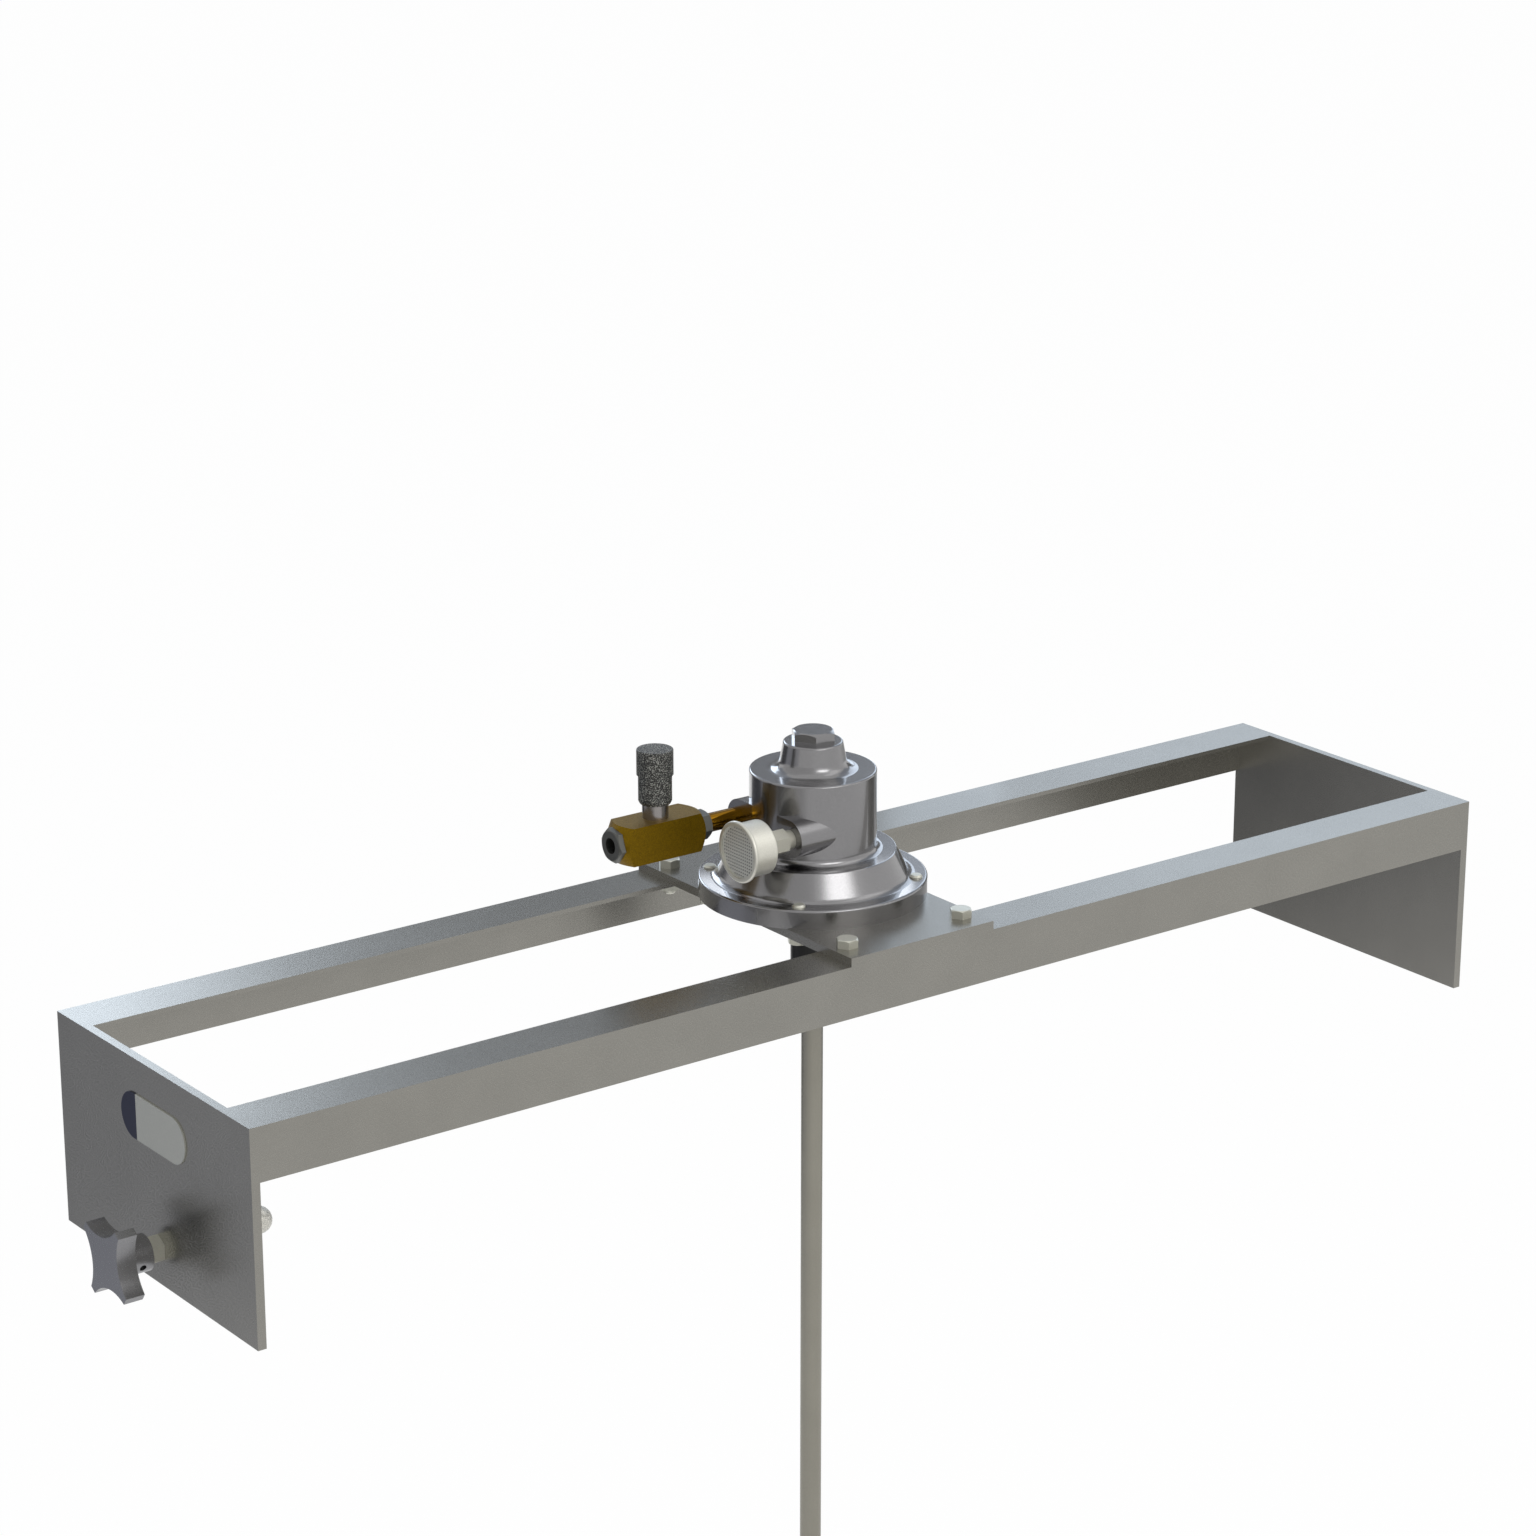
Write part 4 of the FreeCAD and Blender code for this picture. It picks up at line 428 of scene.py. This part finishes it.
laid = add_node(tree, "GeometryNodeTransform",
                {"Geometry": both.outputs[0], "Rotation": (0.0, math.pi / 2, 0.0),
                 "Translation": ((THREAD_START + THREAD_END) / 2, 0.0, SCREW_HEIGHT)})
finish_tree(tree, laid.outputs[0], turned_steel)
clamp_thread = grown("clamp_screw_thread", tree, Pitch=thread_pitch, Crest=CREST_RADIUS, Root=ROOT_RADIUS,
                     Pin=PIN_RADIUS)
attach(clamp_thread, "clamp_spindle")
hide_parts("clamp_screw")


# Motor
# A cast iron body, machined and sprayed with a dark metallic enamel. Fine flakes lie under a clear gloss, so
# it mirrors the studio softly with a sharper sheen on top.
gunmetal_enamel = grained_finish("gunmetal_enamel", "#7D7C7D", metallic=1.0, roughness=0.25, grain=0.8,
                                 spread=0.07, bump=0.006, coat=1.0)
dress(gunmetal_enamel, "motor_housing", "drive_end_plate", "top_plug")


# Inside the motor
# A machined iron rotor of a plain dull grey, bright ground bearings, brown vanes of pressed fibre and black
# rubber seals. All are closed in and are seen only when the housing is taken off.
machined_iron = grained_finish("machined_iron", "#6E6E6C", metallic=0.8, roughness=0.4, grain=1.0,
                               spread=0.06, bump=0.08)
bearing_steel = grained_finish("ground_bearing_steel", "#C4C4C6", metallic=1.0, roughness=0.15, grain=0.6,
                               spread=0.02, bump=0.02)
vane_fibre = grained_finish("pressed_vane_fibre", "#3A2D22", metallic=0.0, roughness=0.6, grain=1.2,
                            spread=0.15, bump=0.1)
seal_rubber = grained_finish("nitrile_rubber", "#141414", metallic=0.0, roughness=0.6, grain=0.8,
                             spread=0.1, bump=0.1)
dress(machined_iron, "motor_rotor")
dress(bearing_steel, "upper_bearing", "lower_bearing")
dress(vane_fibre, "rotor_vanes")
dress(seal_rubber, "shaft_seal", "stem_seal")


# Speed valve
# A milled brass block, dull and olive with a fine sandy grain, on a polished brass pipe that mirrors like
# amber. Dark steel bushings are screwed into its ends and a bright steel bonnet into its top.
milled_brass = grained_finish("milled_brass", "#725800", metallic=0.85, roughness=0.4, grain=0.8,
                              spread=0.26, bump=0.2)
polished_brass = grained_finish("polished_brass", "#8A6212", metallic=1.0, roughness=0.07, grain=0.8,
                                spread=0.04, bump=0.005)
dark_bushing = grained_finish("dark_bushing_steel", "#5E5E5A", metallic=0.8, roughness=0.35, grain=0.9,
                              spread=0.05, bump=0.06)
bright_bonnet = grained_finish("bright_bonnet_steel", "#8E8A88", metallic=0.95, roughness=0.22, grain=0.8,
                               spread=0.03, bump=0.03)
dress(milled_brass, "valve_body")
dress(polished_brass, "inlet_nipple")
dress(dark_bushing, "valve_inlet_bushing", "valve_outlet_bushing")
dress(bright_bonnet, "valve_bonnet", "valve_needle", "valve_stem")


# Valve knob
# Moulded from a black plastic full of pale grey specks of under a millimetre, matt and slightly rough to the
# hand, so that it looks like dark stone. A blackened set screw holds it on the stem.
SPECK_MM = 0.8
speckled_knob = grained_finish("speckled_black_plastic", "#4A4A46", metallic=0.1, roughness=0.5, grain=0.8,
                               spread=0.6, bump=0.2)
tree = speckled_knob.node_tree
specks = add_node(tree, "ShaderNodeTexNoise", {"Vector": tree.nodes["Texture Coordinate"].outputs["Object"],
                                               "Scale": 1000.0 / SPECK_MM, "Detail": 1.0})
shown = add_node(tree, "ShaderNodeMapRange", {"Value": specks.outputs["Fac"], "From Min": 0.53,
                                              "From Max": 0.63})
mixed = add_node(tree, "ShaderNodeMix", {"Factor": shown.outputs[0]}, data_type="RGBA")
mixed.inputs[6].default_value = linear("#171715")
mixed.inputs[7].default_value = linear("#92928B")
tree.links.new(mixed.outputs[2], tree.nodes["Principled BSDF"].inputs["Base Color"])
dress(speckled_knob, "valve_knob")
dress(black_oxide, "knob_set_screw")


# Muffler
# A drawn steel can with a rolled rim, nickel plated: matt, warm and nearly white. Its hexagonal base is
# plated too and a little duller, and its darker colour is painted shade. The pressed felt inside is woolly
# with no shine, and its dark colour is partly the felt's own grey and partly painted shade in the screen's
# holes.
matt_nickel = grained_finish("matt_nickel_plate", "#CDCBC1", metallic=0.75, roughness=0.38, grain=0.9,
                             spread=0.05, bump=0.08)
# The felt's near-black colour is partly its own dark grey and partly painted shade seen through the screen's
# holes.
felt = grained_finish("grey_felt_and_hole_shade", "#151413", metallic=0.0, roughness=0.9, grain=1.4, spread=0.2,
                      bump=0.4)
# The can's nickel plate, a little duller, in a darker colour that is painted shade on the hexagon's faces.
muffler_hex = grained_finish("nickel_plate_painted_shade", "#A9A79C", metallic=0.5, roughness=0.4, grain=0.9,
                             spread=0.04, bump=0.08)
dress(matt_nickel, "muffler_can")
dress(muffler_hex, "muffler_base")
dress(felt, "muffler_felt")


# Muffler screen
# A thin nickel-plated sheet, matt as the can, punched and held by the rolled rim. The part's screen is a
# plain disc; here a square field of small round holes lets the felt show through, dark partly as painted
# shade.
SCREEN_HEART = (-0.08805, -0.0304, 0.1005)
SCREEN_ROWS = 15
SCREEN_RADIUS = 0.01995
SHEET_THICKNESS = 0.0004
HOLE_PITCH = 0.0024
HOLE_RADIUS = 0.00066
FIELD_RADIUS = 0.0176
DISC_SIDES = 96
HOLE_SIDES = 12
PUNCH_LENGTHS = 3.0
screen_sheet = grained_finish("perforated_nickel_sheet", "#C9C8C1", metallic=0.5, roughness=0.42, grain=0.9,
                              spread=0.05, bump=0.08)

tree, given = begin_tree("punched_screen", "Radius", "Thickness", "Pitch", "Hole", "Field")
disc = add_node(tree, "GeometryNodeMeshCylinder", {"Vertices": DISC_SIDES, "Radius": given["Radius"],
                                                   "Depth": given["Thickness"]})
side = add_node(tree, "ShaderNodeMath", {0: given["Pitch"], 1: SCREEN_ROWS - 1.0}, operation="MULTIPLY")
field = add_node(tree, "GeometryNodeMeshGrid", {"Size X": side.outputs[0], "Size Y": side.outputs[0],
                                                "Vertices X": SCREEN_ROWS, "Vertices Y": SCREEN_ROWS})
spot = add_node(tree, "GeometryNodeInputPosition")
reach = add_node(tree, "ShaderNodeVectorMath", {0: spot.outputs[0]}, operation="LENGTH")
outside = add_node(tree, "ShaderNodeMath", {0: reach.outputs["Value"], 1: given["Field"]},
                   operation="GREATER_THAN")
field = add_node(tree, "GeometryNodeDeleteGeometry",
                 {"Geometry": field.outputs[0], "Selection": outside.outputs[0]})
depth = add_node(tree, "ShaderNodeMath", {0: given["Thickness"], 1: PUNCH_LENGTHS}, operation="MULTIPLY")
punch = add_node(tree, "GeometryNodeMeshCylinder", {"Vertices": HOLE_SIDES, "Radius": given["Hole"],
                                                    "Depth": depth.outputs[0]})
punches = add_node(tree, "GeometryNodeInstanceOnPoints",
                   {"Points": field.outputs[0], "Instance": punch.outputs[0]})
punches = add_node(tree, "GeometryNodeRealizeInstances", {0: punches.outputs[0]})
sheet = add_node(tree, "GeometryNodeMeshBoolean", {0: disc.outputs[0], 1: punches.outputs[0]},
                 operation="DIFFERENCE", solver="EXACT")
laid = add_node(tree, "GeometryNodeTransform",
                {"Geometry": sheet.outputs[0], "Rotation": (0.0, math.pi / 2, 0.0),
                 "Translation": SCREEN_HEART})
finish_tree(tree, laid.outputs[0], screen_sheet)
screen = grown("muffler_screen_punched", tree, Radius=SCREEN_RADIUS, Thickness=SHEET_THICKNESS,
               Pitch=HOLE_PITCH, Hole=HOLE_RADIUS, Field=FIELD_RADIUS)
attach(screen, "bridge")
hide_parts("muffler_screen")


# Coupling and shafts
# A turned sleeve, blackened and dull, joins the motor's shaft to a long stainless bar with four set screws.
# The bar is ground to a soft warm grey without lines.
ground_bar = grained_finish("ground_stainless_bar", "#8E8B81", metallic=0.8, roughness=0.34, grain=0.7,
                            spread=0.04, bump=0.08)
dress(black_oxide, "shaft_coupling", "coupling_screws", "impeller_set_screw")
dress(ground_bar, "motor_shaft", "mixer_shaft", "shaft_key", "blade_pins")


# Folding impeller
# A turned stainless hub with three forks, and three blades cut from plate, all blasted to the bridge's soft
# grey. A pin through its fork holds each blade, which hangs at rest and swings out as the shaft spins.
dress(blasted_stainless, "impeller_hub", "impeller_blade_one", "impeller_blade_two", "impeller_blade_three")
